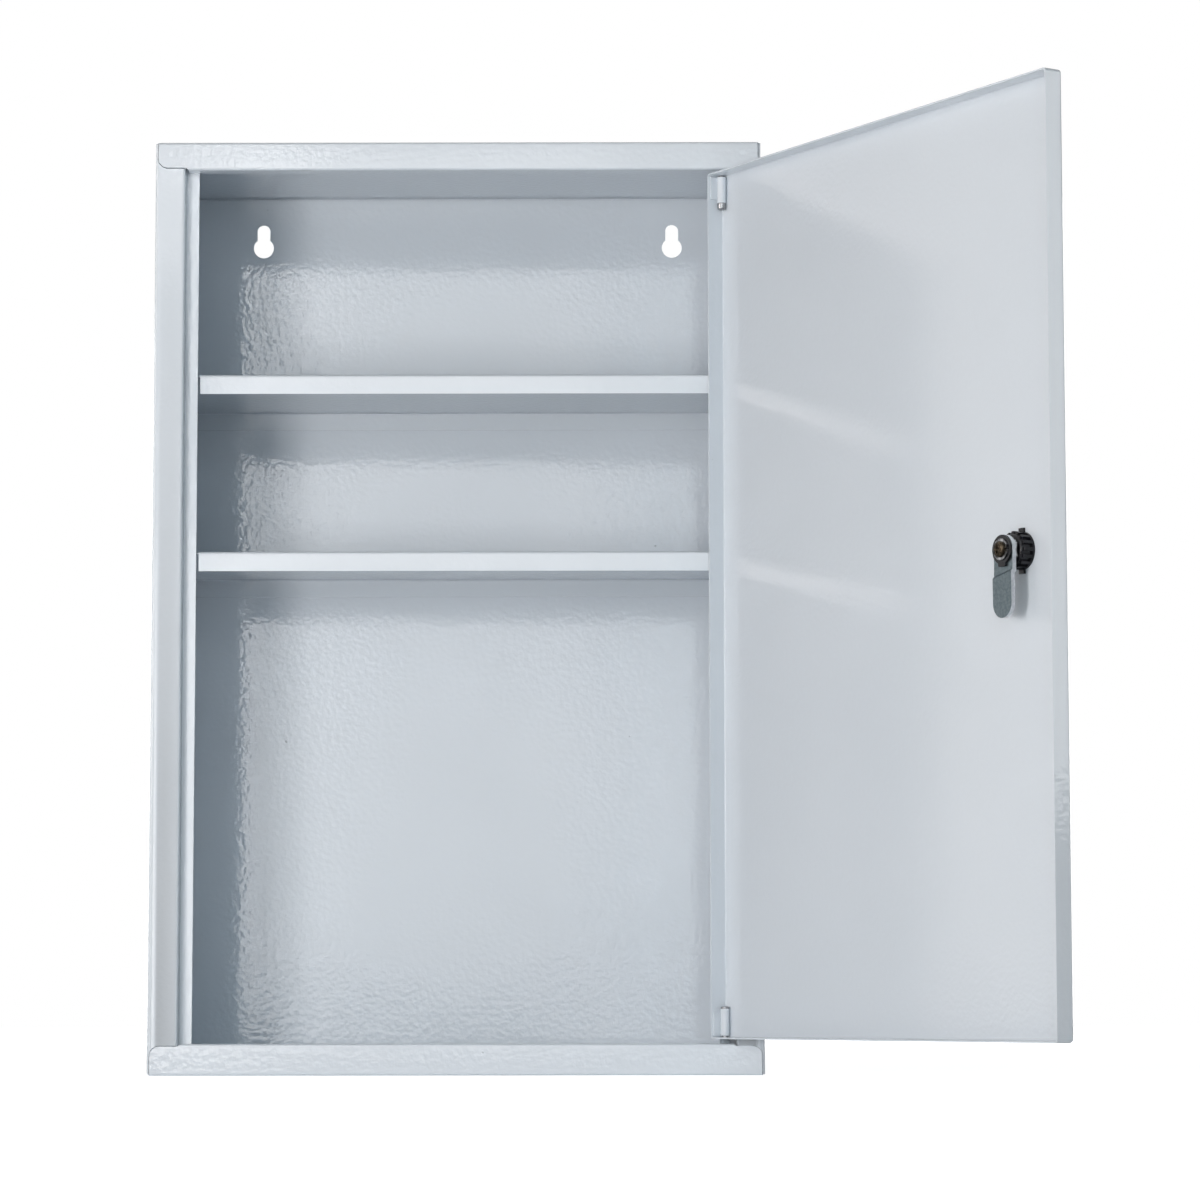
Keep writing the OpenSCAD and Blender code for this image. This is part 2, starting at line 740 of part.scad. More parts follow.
module cam_spring_washer() {
    color(STEEL) on_lock() translate([0, 0, disc_front]) difference() {
        cylinder(d = spring_washer_d, h = spring_washer_t);
        translate([0, 0, -cut_extra]) cylinder(d = screw_d + 2 * loose_gap, h = spring_washer_t + 2 * cut_extra);
    }
}

// Screw into the end of the plug, with a crossed recess
module cam_screw() {
    shank = spring_washer_front - cam_front + screw_bore_depth - 2 * bevel;
    color(BRASS) on_lock() translate([0, 0, spring_washer_front]) difference() {
        union() {
            translate([0, 0, -shank]) cylinder(d = screw_d, h = shank);
            cylinder(d = screw_head_d, h = screw_head_h - bevel);
            translate([0, 0, screw_head_h - bevel])
                cylinder(d1 = screw_head_d, d2 = screw_head_d - 2 * bevel, h = bevel);
        }
        for (turn = [0, 90]) rotate(turn)
            translate([-cross_slot_len / 2, -cross_slot_w / 2, screw_head_h - cross_slot_depth])
            cube([cross_slot_len, cross_slot_w, cross_slot_depth + cut_extra]);
    }
}

left_side_panel();
right_side_panel();
top_panel();
bottom_panel();
back_panel();
upper_shelf();
lower_shelf();
door_panel();
upper_hinge_knuckle();
lower_hinge_knuckle();
upper_hinge_pin();
lower_hinge_pin();
hinge_spacer();
lock_housing();
lock_lug_washer();
lock_ring_nut();
lock_plug();
lock_wafers();
wafer_springs();
cam_arm();
cam_stop_disc();
cam_spring_washer();
cam_screw();
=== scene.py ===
"""Lockable wall cabinet for medicines: its pieces, finishes, studio light and camera.

The classes hold lengths in millimetres, in the shut cabinet's own coordinates: x from the
middle towards the hinge, y inwards from the front face, and z up from the bottom face.
Pieces of the lock are drawn about the lock's axis, with z inwards and y down.
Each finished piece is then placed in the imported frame, in metres.
"""

import logging
import math
from dataclasses import dataclass
from enum import Enum
from typing import Callable, Mapping, Optional, Sequence, Union

import bmesh
import bpy
from mathutils import Matrix, Vector


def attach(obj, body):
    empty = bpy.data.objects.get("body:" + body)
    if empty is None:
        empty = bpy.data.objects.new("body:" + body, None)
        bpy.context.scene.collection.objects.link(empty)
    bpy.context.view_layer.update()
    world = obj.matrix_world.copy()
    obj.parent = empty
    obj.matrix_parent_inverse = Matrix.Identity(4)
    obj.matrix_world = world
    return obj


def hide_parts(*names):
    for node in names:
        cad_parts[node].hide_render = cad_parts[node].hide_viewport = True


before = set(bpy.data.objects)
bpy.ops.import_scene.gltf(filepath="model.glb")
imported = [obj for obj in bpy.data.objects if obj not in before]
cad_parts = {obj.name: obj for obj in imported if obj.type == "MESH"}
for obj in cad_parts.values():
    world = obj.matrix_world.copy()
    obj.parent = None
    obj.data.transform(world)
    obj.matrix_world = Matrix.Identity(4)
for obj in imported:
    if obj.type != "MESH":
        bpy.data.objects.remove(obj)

logging.basicConfig(level=logging.INFO, format="%(message)s")
LOG = logging.getLogger("medicine_cabinet")

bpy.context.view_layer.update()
MM = 0.001
CUTTER_REACH = 4.0  # how far a cutter reaches past what it cuts, in millimetres
FORWARDS = (-math.pi / 2, 0.0, 0.0)  # turns a cutter's z axis to the cabinet's y axis

Point = tuple[float, float, float]
Colour = tuple[float, float, float]
PlaceTest = Callable[[Vector], bool]
Socket = bpy.types.NodeSocket
Given = Union[Socket, float, Sequence[float]]
Surface = tuple[Socket, Socket, Socket]


# ---------------------------------------------------------------- sizes and places


@dataclass(frozen=True)
class CabinetSizes:
    """Main sizes of the cabinet, shared by all its sub-assemblies."""

    width: float = 300.0
    height: float = 460.0
    depth: float = 138.0
    sheet: float = 0.8
    fold_inside: float = 0.8
    lock_lip: float = 14.75
    hinge_lip: float = 13.6
    top_lip: float = 14.0
    bottom_lip: float = 15.3
    keyhole_drop: float = 27.3
    door_flange: float = 9.5
    door_open_deg: float = 122.3
    gap_at_lock: float = 1.45
    gap_at_hinge: float = 2.6
    gap_below_door: float = 2.2
    gap_above_door: float = 2.0
    knuckle_radius: float = 2.2
    knuckle_clearance: float = 0.1
    pin_bore: float = 1.53
    pin_bore_loose: float = 1.55
    sheet_edge: float = 0.14

    @property
    def fold_outside(self) -> float:
        """Outside radius of a fold."""
        return self.fold_inside + self.sheet

    @property
    def half(self) -> float:
        """Half the outside width."""
        return self.width / 2

    @property
    def back_front(self) -> float:
        """The y of the back panel's front face."""
        return self.depth - 2 * self.sheet

    @property
    def door_x(self) -> tuple[float, float]:
        """The shut door's free edge and hinge edge."""
        free = -self.half + self.lock_lip + self.gap_at_lock
        return free, self.half - self.hinge_lip - self.gap_at_hinge

    @property
    def door_z(self) -> tuple[float, float]:
        """The shut door's bottom and top edges."""
        top = self.height - self.top_lip - self.gap_above_door
        return self.bottom_lip + self.gap_below_door, top

    @property
    def pivot(self) -> tuple[float, float]:
        """The hinge line's x and y."""
        inset = self.sheet + self.knuckle_clearance + self.knuckle_radius
        return self.door_x[1] - inset, inset


SIZES = CabinetSizes()


class Places:
    """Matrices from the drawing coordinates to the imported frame."""

    @staticmethod
    def cabinet() -> Matrix:
        """Place of a piece that is fixed in the cabinet."""
        drop = SIZES.keyhole_drop - SIZES.height
        return Matrix.Scale(MM, 4) @ Matrix.Translation((0, SIZES.sheet - SIZES.depth, drop))

    @staticmethod
    def door() -> Matrix:
        """Place of a piece on the door, which stands open."""
        pivot = Vector((*SIZES.pivot, 0))
        turn = Matrix.Rotation(math.radians(SIZES.door_open_deg), 4, "Z")
        return Places.cabinet() @ Matrix.Translation(pivot) @ turn @ Matrix.Translation(-pivot)

    @staticmethod
    def lock(x: float, z: float) -> Matrix:
        """Place of a piece of the lock, from the lock's x and z on the shut door."""
        turn = Matrix.Rotation(math.radians(-90), 4, "X")
        return Places.door() @ Matrix.Translation((x, 0, z)) @ turn


# ---------------------------------------------------------------- modelling


class Pick(Enum):
    """What a selection in edit mode picks."""

    CORNERS = "VERT"
    EDGES = "EDGE"
    FACES = "FACE"


class Facing(Enum):
    """Which way a starting sheet faces, as the turn of a flat plane."""

    FRONT = (math.pi / 2, 0.0, 0.0)
    LEFT = (math.pi / 2, 0.0, -math.pi / 2)
    UP = (0.0, 0.0, 0.0)


def clear_bench() -> None:
    """Leaves edit mode and deselects everything."""
    if bpy.context.mode != "OBJECT":
        bpy.ops.object.mode_set(mode="OBJECT")
    bpy.ops.object.select_all(action="DESELECT")


def near(value: float, target: float, slack: float = 0.02) -> bool:
    """Whether a length is the target to within a small slack."""
    return abs(value - target) <= slack


def runs(edge: bmesh.types.BMEdge, along: str) -> bool:
    """Whether an edge runs along an axis, or any edge when no axis is given."""
    way = (edge.verts[1].co - edge.verts[0].co).normalized()
    return not along or abs(way["xyz".index(along)]) > 0.999


def middle_and_span(low: Point, high: Point) -> tuple[list[float], list[float]]:
    """The middle of a box and its lengths."""
    return [(a + b) / 2 for a, b in zip(low, high)], [b - a for a, b in zip(low, high)]


class Workpiece:
    """One piece on the bench, shaped with edit-mode operators and modifiers.

    The steps that shape it return the piece itself, so they can be written in a row.
    """

    def __init__(self, name: str) -> None:
        """Names the piece that the active object becomes.

        Args:
            name: The piece's name.
        """
        self.body: bpy.types.Object = bpy.context.active_object
        self.body.name = name
        self.body.data.name = name
        bpy.ops.object.transform_apply(location=True, rotation=True, scale=True)

    # starts

    @classmethod
    def sheet(cls, name: str, facing: Facing, low: Point, high: Point) -> "Workpiece":
        """Starts a piece as a flat rectangle.

        Args:
            name: The piece's name.
            facing: The side that the rectangle faces.
            low: Its lowest corner.
            high: Its highest corner.

        Returns:
            The new piece.
        """
        clear_bench()
        middle, (x, y, z) = middle_and_span(low, high)
        bpy.ops.mesh.primitive_plane_add(size=1, location=middle, rotation=facing.value)
        scales = {Facing.FRONT: (x, z, 1), Facing.LEFT: (y, z, 1), Facing.UP: (x, y, 1)}
        bpy.context.active_object.scale = scales[facing]
        return cls(name)

    @classmethod
    def block(cls, name: str, low: Point, high: Point) -> "Workpiece":
        """Starts a piece as a rectangular block between its lowest and highest corner."""
        clear_bench()
        middle, span = middle_and_span(low, high)
        bpy.ops.mesh.primitive_cube_add(size=1, location=middle)
        bpy.context.active_object.scale = span
        return cls(name)

    @classmethod
    def turned(
        cls, name: str, outline: Sequence[tuple[float, float]], sides: int = 96
    ) -> "Workpiece":
        """Draws up a round solid from its outline, ring by ring.

        Args:
            name: The piece's name.
            outline: Radius and height of each ring, from one end to the other.
            sides: Number of sides of each ring.

        Returns:
            The new piece, a closed solid about the z axis.
        """
        clear_bench()
        radius, height = outline[0]
        bpy.ops.mesh.primitive_circle_add(
            vertices=sides, radius=radius, fill_type="NGON", location=(0, 0, height)
        )
        piece = cls(name).whole()
        for next_radius, next_height in outline[1:]:
            piece.pull((0, 0, next_height - height))
            factor = next_radius / radius
            piece.stretch((factor, factor, 1), (0, 0, next_height))
            radius, height = next_radius, next_height
        return piece.outwards()

    @classmethod
    def rod(
        cls, name: str, radius: float, low: float, high: float, sides: int = 96
    ) -> "Workpiece":
        """Starts a piece as a round rod from one height to another."""
        return cls.turned(name, [(radius, low), (radius, high)], sides)

    # modes and selections

    def edit(self) -> None:
        """Opens the piece in edit mode."""
        if bpy.context.mode == "EDIT_MESH" and bpy.context.active_object == self.body:
            return
        self.rest()
        bpy.ops.object.mode_set(mode="EDIT")

    def rest(self) -> None:
        """Closes edit mode and leaves the piece selected and active."""
        clear_bench()
        self.body.select_set(True)
        bpy.context.view_layer.objects.active = self.body

    def whole(self) -> "Workpiece":
        """Selects the whole mesh."""
        self.edit()
        bpy.ops.mesh.select_all(action="SELECT")
        return self

    def pick(self, what: Pick, test: PlaceTest, along: str = "") -> "Workpiece":
        """Selects corners, edges or faces by their place.

        Args:
            what: Corners, edges or faces.
            test: Tells from a corner, or from the middle of an edge or face, if it is picked.
            along: For edges, the axis that they run along, or nothing.

        Returns:
            The piece itself.
        """
        self.edit()
        bpy.ops.mesh.select_mode(type=what.value)
        bpy.ops.mesh.select_all(action="DESELECT")
        mesh = bmesh.from_edit_mesh(self.body.data)
        if what is Pick.CORNERS:
            chosen = [v for v in mesh.verts if test(v.co)]
        elif what is Pick.EDGES:
            chosen = [
                e for e in mesh.edges
                if test((e.verts[0].co + e.verts[1].co) / 2) and runs(e, along)
            ]
        else:
            chosen = [f for f in mesh.faces if test(f.calc_center_median())]
        if not chosen:
            raise ValueError(f"{self.body.name}: nothing was picked")
        for item in chosen:
            item.select_set(True)
        mesh.select_flush_mode()
        bmesh.update_edit_mesh(self.body.data)
        return self

    def corners(self, test: PlaceTest) -> "Workpiece":
        """Selects corners by their place."""
        return self.pick(Pick.CORNERS, test)

    def edges(self, test: PlaceTest, along: str = "") -> "Workpiece":
        """Selects edges by the place of their middle and the axis that they run along."""
        return self.pick(Pick.EDGES, test, along)

    # edit-mode steps

    def pull(self, by: Point) -> "Workpiece":
        """Extrudes what is selected, by x, y and z."""
        bpy.ops.mesh.extrude_region_move(TRANSFORM_OT_translate={"value": by})
        return self

    def move(self, by: Point) -> "Workpiece":
        """Moves what is selected, by x, y and z."""
        bpy.ops.transform.translate(value=by)
        return self

    def stretch(self, factors: Point, centre: Point) -> "Workpiece":
        """Scales what is selected about a centre."""
        bpy.ops.transform.resize(value=factors, center_override=centre)
        return self

    def split(self, point: Point, normal: Point, clear: bool = False) -> "Workpiece":
        """Cuts the whole mesh along a plane.

        Args:
            point: A point on the plane.
            normal: The plane's normal.
            clear: Whether what lies on the normal's side goes, with the cut filled.

        Returns:
            The piece itself.
        """
        self.whole()
        bpy.ops.mesh.bisect(plane_co=point, plane_no=normal, use_fill=clear, clear_outer=clear)
        return self

    def fold(self, radius: float, steps: int = 6) -> "Workpiece":
        """Rounds the selected edges to a radius."""
        bpy.ops.mesh.bevel(offset=radius, segments=steps, profile=0.5, affect="EDGES")
        return self

    def round_corners(self, radius: float, steps: int) -> "Workpiece":
        """Rounds the selected corners of a flat sheet to a radius."""
        bpy.ops.mesh.bevel(offset=radius, segments=steps, profile=0.5, affect="VERTICES")
        return self

    def outwards(self, merge: float = 0.0005) -> "Workpiece":
        """Merges doubles and turns all faces of a closed shape outwards."""
        self.whole()
        bpy.ops.mesh.remove_doubles(threshold=merge)
        bpy.ops.mesh.normals_make_consistent(inside=False)
        return self

    def skin_faces(self, at: Point, towards: Point) -> "Workpiece":
        """Makes an open skin's faces agree, with the one nearest a point facing a given way.

        Args:
            at: A point on the skin.
            towards: The direction that the skin faces there.

        Returns:
            The piece itself.
        """
        self.outwards()
        mesh = bmesh.from_edit_mesh(self.body.data)
        spot = Vector(at)
        nearest = min(mesh.faces, key=lambda f: (f.calc_center_median() - spot).length)
        nearest.normal_update()
        if nearest.normal.dot(Vector(towards)) < 0:
            bpy.ops.mesh.flip_normals()
        return self

    # modifiers

    def apply(self, kind: str, **settings: object) -> "Workpiece":
        """Adds a modifier, sets it and applies it.

        Args:
            kind: The modifier's type.
            **settings: Its properties by name.

        Returns:
            The piece itself.
        """
        self.rest()
        modifier = self.body.modifiers.new(kind.lower(), kind)
        for key, value in settings.items():
            setattr(modifier, key, value)
        bpy.ops.object.modifier_apply(modifier=modifier.name)
        return self

    def thicken(self, thickness: float) -> "Workpiece":
        """Gives a skin its thickness, away from the side that it faces."""
        return self.apply("SOLIDIFY", thickness=thickness, offset=-1.0, use_even_offset=True)

    def cut(self, cutter: "Workpiece") -> "Workpiece":
        """Takes a solid out of the piece and discards the cutter."""
        return self._combine(cutter, "DIFFERENCE")

    def add(self, other: "Workpiece") -> "Workpiece":
        """Fuses another solid into the piece."""
        return self._combine(other, "UNION")

    def _combine(self, other: "Workpiece", operation: str) -> "Workpiece":
        """Combines the piece with another solid by a Boolean, and removes that solid."""
        other.rest()
        self.apply("BOOLEAN", operation=operation, object=other.body, solver="EXACT")
        bpy.data.objects.remove(other.body)
        return self

    def join(self, other: "Workpiece") -> "Workpiece":
        """Takes another piece's mesh into this one, side by side."""
        other.rest()
        self.rest()
        other.body.select_set(True)
        bpy.ops.object.join()
        return self

    def soften(self, width: float, steps: int = 2, over_deg: float = 40) -> "Workpiece":
        """Rounds every sharp edge a little, as paint, wear or moulding leaves it."""
        return self.apply(
            "BEVEL", width=width, segments=steps, limit_method="ANGLE",
            angle_limit=math.radians(over_deg), use_clamp_overlap=True,
        )

    def copy(self, name: str) -> "Workpiece":
        """Copies the piece, with its own mesh."""
        self.rest()
        bpy.ops.object.duplicate()
        return Workpiece(name)

    # places

    def set_at(self, at: Point, turn: Point = (0.0, 0.0, 0.0)) -> "Workpiece":
        """Lays a cutter at its place, turned about its own origin."""
        self.rest()
        self.body.rotation_euler = turn
        self.body.location = at
        return self

    def place(self, matrix: Matrix) -> bpy.types.Object:
        """Smooths the piece and moves it to its place in the frame.

        Args:
            matrix: The place, from millimetres in the drawing to the frame.

        Returns:
            The finished object, at the origin with its place in its mesh.
        """
        self.rest()
        bpy.ops.object.shade_smooth_by_angle(angle=math.radians(32))
        self.apply("WEIGHTED_NORMAL", keep_sharp=True)
        self.body.matrix_world = matrix
        bpy.ops.object.transform_apply(location=True, rotation=True, scale=True)
        return self.body


# ---------------------------------------------------------------- finishes


class Sketch:
    """Adds and links the nodes of one tree."""

    def __init__(self, tree: bpy.types.NodeTree) -> None:
        """Starts on a tree.

        Args:
            tree: The tree that takes the nodes.
        """
        self.tree = tree
        self.column = 0

    @classmethod
    def fresh(cls, owner: Union[bpy.types.Material, bpy.types.World]) -> "Sketch":
        """Starts on the emptied tree of a material or world."""
        owner.use_nodes = True
        owner.node_tree.nodes.clear()
        return cls(owner.node_tree)

    def feed(self, slot: Socket, value: Given) -> None:
        """Gives an input its value.

        Args:
            slot: The input.
            value: A socket to link, a number, or a colour's three numbers.
        """
        if isinstance(value, Socket):
            self.tree.links.new(value, slot)
        elif isinstance(value, (int, float)):
            slot.default_value = value
        else:
            slot.default_value = (*value, 1.0)

    def node(
        self, kind: str, feeds: Optional[Mapping[object, Given]] = None, **settings: object
    ) -> bpy.types.Node:
        """Adds a node.

        Args:
            kind: The node's type without its ShaderNode prefix.
            feeds: What its inputs get, by name or number.
            **settings: Its properties by name.

        Returns:
            The node.
        """
        made = self.tree.nodes.new("ShaderNode" + kind)
        self.column += 1
        made.location = (200 * self.column, 0)
        for key, value in settings.items():
            setattr(made, key, value)
        for key, value in (feeds or {}).items():
            self.feed(made.inputs[key], value)
        return made

    def maths(self, operation: str, *inputs: Given) -> Socket:
        """Adds a Math node on sockets or numbers, and returns its result."""
        return self.node("Math", dict(enumerate(inputs)), operation=operation).outputs[0]

    def times(self, first: Given, second: Given) -> Socket:
        """Multiplies two values."""
        return self.maths("MULTIPLY", first, second)

    def plus(self, first: Given, second: Given) -> Socket:
        """Adds two values."""
        return self.maths("ADD", first, second)

    def noise(self, where: Socket, scale: Given, detail: float, rough: float = 0.5) -> Socket:
        """Adds a Noise texture.

        Args:
            where: The coordinates.
            scale: Its scale per metre.
            detail: Its octaves.
            rough: How strong the fine octaves are.

        Returns:
            Its value, about 0.5 on average.
        """
        feeds = {"Vector": where, "Scale": scale, "Detail": detail, "Roughness": rough}
        return self.node("TexNoise", feeds).outputs["Fac"]

    def mix(self, share: Given, first: Given, second: Given) -> Socket:
        """Mixes two colours, with the second colour's share given."""
        return self.node("Mix", {0: share, 6: first, 7: second}, data_type="RGBA").outputs[2]

    def band(self, value: Socket, low: float, high: float) -> Socket:
        """Stretches the span from low to high over 0 to 1, clamped."""
        feeds = {"Value": value, "From Min": low, "From Max": high}
        return self.node("MapRange", feeds).outputs["Result"]

    def uneven(self, level: Given, value: Socket, spread: Given) -> Socket:
        """Lets a level vary with a noise's value, which is about 0.5 on average."""
        return self.plus(level, self.times(self.maths("SUBTRACT", value, 0.5), spread))


class SurfaceGroup:
    """A shared node group with named inputs, which puts out a colour, a roughness and a height."""

    name = "surface"
    numbers: tuple[str, ...] = ()
    results = ("Colour", "Roughness", "Height")

    def build(self) -> bpy.types.NodeTree:
        """Makes the group once and returns it."""
        found = bpy.data.node_groups.get(self.name)
        if found:
            return found
        tree = bpy.data.node_groups.new(self.name, "ShaderNodeTree")
        sockets = [(label, "INPUT") for label in ("Colour", "Second Colour", *self.numbers)]
        for label, way in sockets + [(label, "OUTPUT") for label in self.results]:
            kind = "NodeSocketColor" if label.endswith("Colour") else "NodeSocketFloat"
            tree.interface.new_socket(label, in_out=way, socket_type=kind)
        sketch = Sketch(tree)
        start = tree.nodes.new("NodeGroupInput")
        end = tree.nodes.new("NodeGroupOutput")
        where = sketch.node("TexCoord").outputs["Object"]
        for label, socket in zip(self.results, self.draw(sketch, start.outputs, where)):
            sketch.feed(end.inputs[label], socket)
        return tree

    def draw(self, sketch: Sketch, given: Mapping[str, Socket], where: Socket) -> Surface:
        """Draws the group's own nodes.

        Args:
            sketch: The group's sketch.
            given: The group's inputs by name.
            where: Object coordinates.

        Returns:
            The sockets of the colour, the roughness and the height.
        """
        raise NotImplementedError


class SprayedCoat(SurfaceGroup):
    """Powder paint: orange peel, slow waves of the sheet, soft tone changes and tiny pits."""

    name = "sprayed_coat"
    numbers = ("Peel Scale", "Wave Scale", "Wave Share", "Roughness", "Pits")
    tone_scale = 9.0
    tone_span = (0.35, 0.65)
    pit_scale = 46.0
    pit_span = (0.034, 0.016)
    pit_rarity_scale = 21.0
    pit_rarity = 0.62
    pit_colour: Colour = (0.20, 0.22, 0.24)
    pit_share = 0.55
    pit_depth = 2.0
    gloss_scale = 60.0
    gloss_spread = 0.03

    def draw(self, sketch: Sketch, given: Mapping[str, Socket], where: Socket) -> Surface:
        """Draws the paint's nodes.

        Args:
            sketch: The group's sketch.
            given: The group's inputs by name.
            where: Object coordinates.

        Returns:
            The sockets of the colour, the roughness and the height.
        """
        peel = sketch.noise(where, given["Peel Scale"], 1.5, 0.4)
        wave = sketch.noise(where, given["Wave Scale"], 1.0, 0.3)
        tone = sketch.band(sketch.noise(where, self.tone_scale, 2.0), *self.tone_span)
        cells = sketch.node("TexVoronoi", {"Scale": self.pit_scale, "Vector": where})
        dot = sketch.band(cells.outputs["Distance"], *self.pit_span)
        rarity = sketch.noise(where, self.pit_rarity_scale, 0.0)
        rare = sketch.maths("GREATER_THAN", rarity, self.pit_rarity)
        pit = sketch.times(sketch.times(dot, rare), given["Pits"])
        toned = sketch.mix(tone, given["Colour"], given["Second Colour"])
        colour = sketch.mix(sketch.times(pit, self.pit_share), toned, self.pit_colour)
        spread = sketch.times(sketch.noise(where, self.gloss_scale, 3.0), self.gloss_spread)
        roughness = sketch.plus(given["Roughness"], spread)
        relief = sketch.plus(peel, sketch.times(wave, given["Wave Share"]))
        height = sketch.maths("SUBTRACT", relief, sketch.times(pit, self.pit_depth))
        return colour, roughness, height


class PlatedMetal(SurfaceGroup):
    """Plated or bare metal: cloudy patches and fine drawn lines over a fine grain."""

    name = "plated_metal"
    numbers = ("Cloud Scale", "Line Scale", "Roughness", "Roughness Spread")
    cloud_span = (0.38, 0.62)
    drawn_out: Point = (1.0, 1.0, 0.06)
    grain_scale = 5200.0
    grain_share = 0.6

    def draw(self, sketch: Sketch, given: Mapping[str, Socket], where: Socket) -> Surface:
        """Draws the metal's nodes.

        Args:
            sketch: The group's sketch.
            given: The group's inputs by name.
            where: Object coordinates.

        Returns:
            The sockets of the colour, the roughness and the height.
        """
        clouds = sketch.noise(where, given["Cloud Scale"], 4.0, 0.6)
        cloud = sketch.band(clouds, *self.cloud_span)
        drawn = sketch.node("Mapping", {"Vector": where}, vector_type="POINT")
        drawn.inputs["Scale"].default_value = self.drawn_out
        lines = sketch.noise(drawn.outputs["Vector"], given["Line Scale"], 3.0, 0.65)
        grain = sketch.noise(where, self.grain_scale, 2.0)
        colour = sketch.mix(cloud, given["Colour"], given["Second Colour"])
        roughness = sketch.uneven(given["Roughness"], lines, given["Roughness Spread"])
        return colour, roughness, sketch.plus(lines, sketch.times(grain, self.grain_share))


class MouldedGrain(SurfaceGroup):
    """Moulded plastic: a fine even grain, greyer where it is handled."""

    name = "moulded_grain"
    numbers = ("Grain Scale", "Roughness", "Roughness Spread")
    patch_scale = 240.0
    patch_span = (0.4, 0.68)

    def draw(self, sketch: Sketch, given: Mapping[str, Socket], where: Socket) -> Surface:
        """Draws the plastic's nodes.

        Args:
            sketch: The group's sketch.
            given: The group's inputs by name.
            where: Object coordinates.

        Returns:
            The sockets of the colour, the roughness and the height.
        """
        grain = sketch.noise(where, given["Grain Scale"], 3.0, 0.6)
        patch = sketch.band(sketch.noise(where, self.patch_scale, 2.0), *self.patch_span)
        colour = sketch.mix(patch, given["Colour"], given["Second Colour"])
        return colour, sketch.uneven(given["Roughness"], grain, given["Roughness Spread"]), grain


@dataclass(frozen=True)
class Finish:
    """One finish: a shared group with its own values, under one shader."""

    name: str
    slot: str
    group: SurfaceGroup
    colour: Colour
    second: Colour
    values: tuple[float, ...]
    metallic: float = 0.0
    ior: float = 1.5
    bump: float = 0.5
    bump_distance: float = 0.00001

    def material(self) -> bpy.types.Material:
        """Makes the finish's material once and returns it."""
        found = bpy.data.materials.get(self.name)
        if found:
            return found
        made = bpy.data.materials.new(self.name)
        sketch = Sketch.fresh(made)
        feeds = {"Colour": self.colour, "Second Colour": self.second}
        feeds.update(zip(self.group.numbers, self.values))
        surface = sketch.node("Group", feeds, node_tree=self.group.build()).outputs
        relief = sketch.node("Bump", {
            "Strength": self.bump, "Distance": self.bump_distance, "Height": surface["Height"],
        })
        shader = sketch.node("BsdfPrincipled", {
            "Metallic": self.metallic, "IOR": self.ior, "Base Color": surface["Colour"],
            "Roughness": surface["Roughness"], "Normal": relief.outputs["Normal"],
        })
        sketch.node("OutputMaterial", {"Surface": shader.outputs["BSDF"]})
        return made


class Finishes(Enum):
    """The finishes of this cabinet."""

    PAINT = Finish(
        "grey_powder_coat", "powder_coat", SprayedCoat(),
        (0.645, 0.700, 0.752), (0.665, 0.720, 0.772), (420.0, 14.0, 4.0, 0.045, 0.6),
        ior=1.55, bump_distance=0.00018,
    )
    ZINC = Finish(
        "zinc_plating", "zinc_plate", PlatedMetal(),
        (0.135, 0.170, 0.185), (0.185, 0.222, 0.238), (760.0, 1900.0, 0.30, 0.14),
        metallic=1.0, bump=0.8, bump_distance=0.00002,
    )
    NICKEL = Finish(
        "nickel_plating", "nickel_plate", PlatedMetal(),
        (0.56, 0.57, 0.58), (0.66, 0.67, 0.68), (120.0, 1500.0, 0.16, 0.08),
        metallic=1.0, bump_distance=0.000006,
    )
    STEEL = Finish(
        "pin_steel", "bright_steel", PlatedMetal(),
        (0.22, 0.225, 0.235), (0.42, 0.43, 0.44), (500.0, 2600.0, 0.26, 0.12), metallic=1.0,
    )
    # lighter metal for the cam's side faces: a painted highlight, standing in for the light that
    # they catch from the right
    EDGE_HIGHLIGHT = Finish(
        "painted_highlight_edge", "zinc_plate", PlatedMetal(),
        (0.62, 0.64, 0.66), (0.74, 0.76, 0.78), (700.0, 2200.0, 0.34, 0.1), metallic=1.0,
    )
    WASHER = Finish(
        "dull_steel", "bright_steel", PlatedMetal(),
        (0.035, 0.035, 0.037), (0.52, 0.52, 0.53), (620.0, 2600.0, 0.28, 0.12), metallic=1.0,
    )
    BLACK = Finish(
        "black_moulding", "black_plastic", MouldedGrain(),
        (0.005, 0.005, 0.007), (0.012, 0.012, 0.016), (2600.0, 0.16, 0.08), ior=1.4,
    )
    NYLON = Finish(
        "nylon_moulding", "grey_nylon", MouldedGrain(),
        (0.19, 0.225, 0.25), (0.24, 0.28, 0.31), (1800.0, 0.40, 0.1), bump_distance=0.00002,
    )
    YELLOW_ZINC = Finish(
        "brown_zinc_plating", "yellow_zinc", PlatedMetal(),
        (0.020, 0.015, 0.010), (0.105, 0.082, 0.058), (1300.0, 3000.0, 0.36, 0.2),
        metallic=1.0, bump=0.8, bump_distance=0.00002,
    )


# ---------------------------------------------------------------- sub-assemblies


class SubAssembly:
    """A group of pieces that ride on one body of the frame."""

    body = "cabinet"
    place = Places.cabinet()

    def done(self, made: Workpiece, finish: Finishes, *nodes: str) -> bpy.types.Object:
        """Places and dresses a finished workpiece and ties it to the frame.

        Args:
            made: The workpiece.
            finish: Its finish.
            *nodes: The nodes of the frame that it stands for.

        Returns:
            The placed object.
        """
        piece = made.place(self.place)
        piece.data.materials.clear()
        piece.data.materials.append(finish.value.material())
        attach(piece, self.body)
        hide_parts(*nodes)
        triangles = sum(len(face.vertices) - 2 for face in piece.data.polygons)
        LOG.info("%s: %d triangles on %s", piece.name, triangles, self.body)
        return piece


